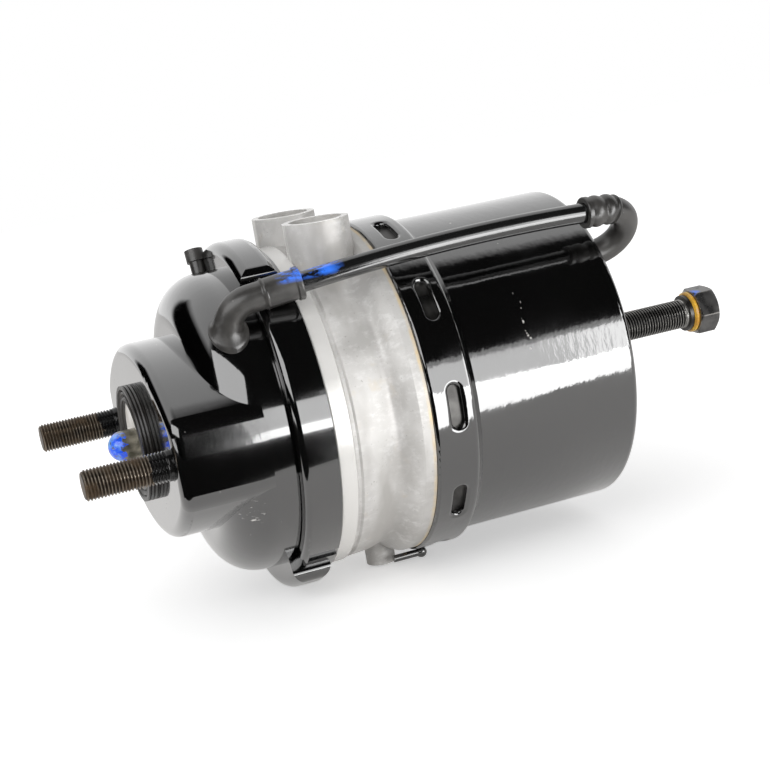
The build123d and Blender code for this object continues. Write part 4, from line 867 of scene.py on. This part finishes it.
def bolt_finish():
    """Dark thread with shining crests, a blackened head with rubbed edges, the painted shade of the
    drilled dot and the dab.
    """
    metal = Finish("oiled_bolt", Base_Color=(0.1, 0.1, 0.1), Metallic=0.9, Roughness=0.3)
    fine, coarse = grains(metal, 1400.0, 140.0)
    crest = metal.between(relief_of(metal), 0.45, 1.0)
    thread = metal.blend(crest, (0.012, 0.012, 0.013), (0.46, 0.45, 0.43))
    clouds = metal.between(coarse, 0.4, 0.65)
    head = metal.blend(clouds, (0.085, 0.084, 0.084), (0.17, 0.166, 0.162))
    head = metal.blend(crest, head, (0.60, 0.58, 0.55))
    # Painted shade: a near-black disc stands in for the shade inside the drilled dot.
    head = metal.blend(metal.near(DRILLED_DOT_SHADE, 0.0009, 0.0012), head, (0.004, 0.004, 0.005))
    colour = metal.blend(metal.between(metal.axis("X"), *HEAD_START), thread, head)
    dab = metal.times(metal.near(DAB_PLACE, 0.0014, 0.0040),
                      metal.between(metal.noise(420.0, 3.0), 0.42, 0.56))
    metal.feed(Base_Color=metal.blend(dab, colour, DAB_BLUE), Metallic=metal.blend(dab, 0.9, 0.0),
               Roughness=clouded(metal, coarse, 0.22, 0.40), Normal=metal.raised(fine, 0.15, 0.00005))
    return metal.material


bolt_metal = bolt_finish()

# %% [markdown]
# The push rod is plated steel, olive grey, and its round tip carries a dab of blue inspection
# lacquer. The lacquer sits on the front of the ball and has a ragged edge, which comes from
# comparing the place along the rod with a little noise.

# %% Push rod
LACQUER_EDGE = (-0.0105, -0.0095)
LACQUER_THICK, LACQUER_THIN = (0.004, 0.085, 0.82), (0.20, 0.42, 0.86)


def rod_finish():
    """Olive plating with worn blue lacquer on the ball."""
    metal = Finish("plated_rod", Base_Color=(0.20, 0.19, 0.15), Metallic=0.75, Roughness=0.36,
                   Coat_Weight=0.5, Coat_Roughness=0.06)
    fine, coarse = grains(metal, 900.0, 230.0)
    plating = metal.blend(metal.between(coarse, 0.36, 0.66), (0.10, 0.095, 0.07), (0.33, 0.31, 0.25))
    lacquer = metal.between(ragged_x(metal, 330.0, 4.0, 0.25, 0.0042), *LACQUER_EDGE, 1.0, 0.0)
    worn = metal.times(lacquer, metal.between(metal.noise(600.0, 3.0), 0.33, 0.42))
    thin = metal.between(metal.noise(170.0, 3.0), 0.46, 0.66)
    blue = metal.blend(thin, LACQUER_THICK, LACQUER_THIN)
    metal.feed(Base_Color=metal.blend(worn, plating, blue), Metallic=metal.blend(worn, 0.75, 0.0),
               Roughness=metal.blend(worn, 0.38, 0.22), Normal=metal.raised(fine, 0.2, 0.00008))
    return metal.material


rod_metal = rod_finish()

# %% [markdown]
# Rubber is dark but never black: it is matt, slightly grey where it is dusty, and has a fine
# grain from the mould. The seal ring is browner than the elbows. Blue marker was wiped over the
# front elbow's mouth and the start of the pipe, so those two finishes share a smear.

# %% Rubber and pipe
MARKER_BLUE = (0.03, 0.17, 0.80)
SMEAR_BOTTOM, SMEAR_FADES_IN, SMEAR_FADES_OUT = (0.0672, 0.0692), 0.004, 0.007
DUSTY, PIPE_BLACK = (0.30, 0.29, 0.27), (0.006, 0.006, 0.006)


def marker_smear(finish, start_x, end_x):
    """Where the blue marker lies: the top of the breather line between two places, broken up."""
    x = finish.axis("X")
    broken = finish.noise(190.0, 5.0, 0.65, (0.45, 1.0, 1.0))
    return finish.times(finish.between(x, start_x, start_x + SMEAR_FADES_IN),
                        finish.between(x, end_x - SMEAR_FADES_OUT, end_x, 1.0, 0.0),
                        finish.between(finish.axis("Z"), *SMEAR_BOTTOM),
                        finish.between(broken, 0.44, 0.53))


def rubber(name, low, high, smear=False, grooved=False):
    """Moulded rubber between two colours, with grain, and a marker smear or grooves if asked for."""
    moulded = Finish(name, Base_Color=low, Metallic=0.0, Roughness=0.55, Specular_IOR_Level=0.8)
    fine, coarse = grains(moulded, 1500.0, 95.0)
    specks = moulded.effect(DUST, Scale=520.0, Share=0.06, Size=0.14)["Mask"]
    colour = moulded.blend(moulded.between(coarse, 0.35, 0.70), low, high)
    colour = moulded.blend(specks, colour, DUSTY)
    if smear:
        colour = moulded.blend(marker_smear(moulded, 0.0600, 0.0790), colour, MARKER_BLUE)
    grooves = moulded.raised(moulded.rings(185.0), 0.8, 0.0005) if grooved else None
    moulded.feed(Base_Color=colour, Roughness=clouded(moulded, coarse, 0.27, 0.42),
                 Normal=moulded.raised(fine, 0.22, 0.00008, grooves))
    return moulded.material


def pipe_finish():
    """Gloss black nylon with the end of the marker smear."""
    nylon = Finish("pipe_nylon", Base_Color=PIPE_BLACK, Metallic=0.0, Roughness=0.16,
                   Specular_IOR_Level=0.9, Coat_Weight=0.6, Coat_Roughness=0.08)
    coarse = grains(nylon, 700.0, 50.0)[1]
    nylon.feed(Base_Color=nylon.blend(marker_smear(nylon, 0.0680, 0.0920), PIPE_BLACK, MARKER_BLUE),
               Roughness=clouded(nylon, coarse, 0.12, 0.24), Normal=nylon.raised(coarse, 0.12, 0.0004))
    return nylon.material


elbow_rubber = rubber("elbow_rubber", (0.022, 0.021, 0.020), (0.060, 0.057, 0.053), smear=True)
seal_rubber = rubber("seal_rubber", (0.007, 0.006, 0.005), (0.022, 0.018, 0.015), grooved=True)
pipe_nylon = pipe_finish()

# %% [markdown]
# The rest are small: the boot inside the seal ring, which is painted near white as a painted reflection
# of the white sweep in the gloss black front face behind it, an amber plastic ring under the bolt's head,
# bare steel for nut, collar and locking ring, coated springs, the die-cast piston and natural plastic.
# Each still has its own grain, because a flat colour is not a finish.

# %% Small parts' finishes
def two_tone(name, low, high, roughness, metallic=0.0, scales=(1200.0, 120.0), clouds=(0.35, 0.68),
             tooth=(0.18, 0.00006), even=False, **constants):
    """Goes from one tone to the other where the coarse grain runs through clouds. scales are the
    fine and the coarse grain's, tooth is how strong and how deep the fine one shows, and an even
    finish is equally rough all over."""
    finish = Finish(name, Base_Color=low, Metallic=metallic, Roughness=roughness, **constants)
    fine, coarse = grains(finish, *scales)
    finish.feed(Base_Color=finish.blend(finish.between(coarse, *clouds), low, high),
                Normal=finish.raised(fine, *tooth))
    if not even:
        finish.feed(Roughness=clouded(finish, coarse, roughness - 0.07, roughness + 0.09))
    return finish.material


# Painted reflection: the boot's near-white colour stands in for the white sweep mirrored by the gloss
# paint there.
boot_painted_reflection = two_tone("boot_painted_reflection", (0.82, 0.80, 0.77), (0.66, 0.63, 0.59), 0.45, even=True,
                       scales=(900.0, 110.0), clouds=(0.38, 0.66), tooth=(0.12, 0.00006))
dark_steel = two_tone("dark_steel", (0.035, 0.034, 0.033), (0.10, 0.098, 0.094), 0.34, 0.9)
bright_steel = two_tone("zinc_steel", (0.42, 0.42, 0.41), (0.62, 0.61, 0.58), 0.30, 0.9)
spring_coat = two_tone("coated_spring", (0.03, 0.03, 0.033), (0.06, 0.06, 0.066), 0.36)
die_cast = two_tone("die_cast_piston", (0.42, 0.41, 0.40), (0.62, 0.61, 0.60), 0.42, 0.9)
turned_brass = two_tone("turned_brass", (0.58, 0.40, 0.14), (0.78, 0.58, 0.25), 0.28, 0.9)
natural_plastic = two_tone("natural_plastic", (0.55, 0.52, 0.44), (0.68, 0.66, 0.58), 0.48)
amber = two_tone("amber_plastic", (0.80, 0.43, 0.04), (0.50, 0.22, 0.02), 0.32, even=True,
                 scales=(1000.0, 260.0), clouds=(0.38, 0.66), tooth=(0.15, 0.00008),
                 Subsurface_Weight=0.15)

# %% [markdown]
# Now every node of the CAD model gets its finish in its material slots, and the new pieces theirs.

# %% Give every piece its finish
NODES_OF_FINISH = {
    housing_paint: ["service_housing", "locking_wire"], cylinder_paint: ["spring_cylinder"],
    aluminium: ["flange_body"], rod_metal: ["push_rod"],
    bright_steel: ["push_plate", "housing_spigot", "cap_spigot"],
    dark_steel: ["head_collar", "release_nut", "bolt_retainer", "locking_ring", "vent_plug"],
    spring_coat: ["return_spring", "power_spring"],
    die_cast: ["spring_piston", "piston_tube", "tube_nose"],
    turned_brass: ["thrust_washer"], natural_plastic: ["tube_guide_ring"],
    seal_rubber: ["front_seal_ring", "diaphragm", "tube_o_ring", "flange_seal", "piston_seal"],
    elbow_rubber: ["breather_plug"], boot_painted_reflection: ["dust_boot"],
    pipe_nylon: ["breather_pipe"], amber: ["bolt_seal_ring"],
}
FINISH_OF_PIECE = {studs: stud_metal, bolt: bolt_metal,
                   front_rubber: elbow_rubber, rear_rubber: elbow_rubber}


def dress(piece, material):
    """Puts one material in all of the piece's slots."""
    piece.data.materials.clear()
    piece.data.materials.append(material)


dressed = set()
for material, names in NODES_OF_FINISH.items():
    for name in names:
        dress(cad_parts[name], material)
    dressed.update(names)
for piece, material in FINISH_OF_PIECE.items():
    dress(piece, material)
print("replaced nodes:", sorted(set(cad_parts) - dressed))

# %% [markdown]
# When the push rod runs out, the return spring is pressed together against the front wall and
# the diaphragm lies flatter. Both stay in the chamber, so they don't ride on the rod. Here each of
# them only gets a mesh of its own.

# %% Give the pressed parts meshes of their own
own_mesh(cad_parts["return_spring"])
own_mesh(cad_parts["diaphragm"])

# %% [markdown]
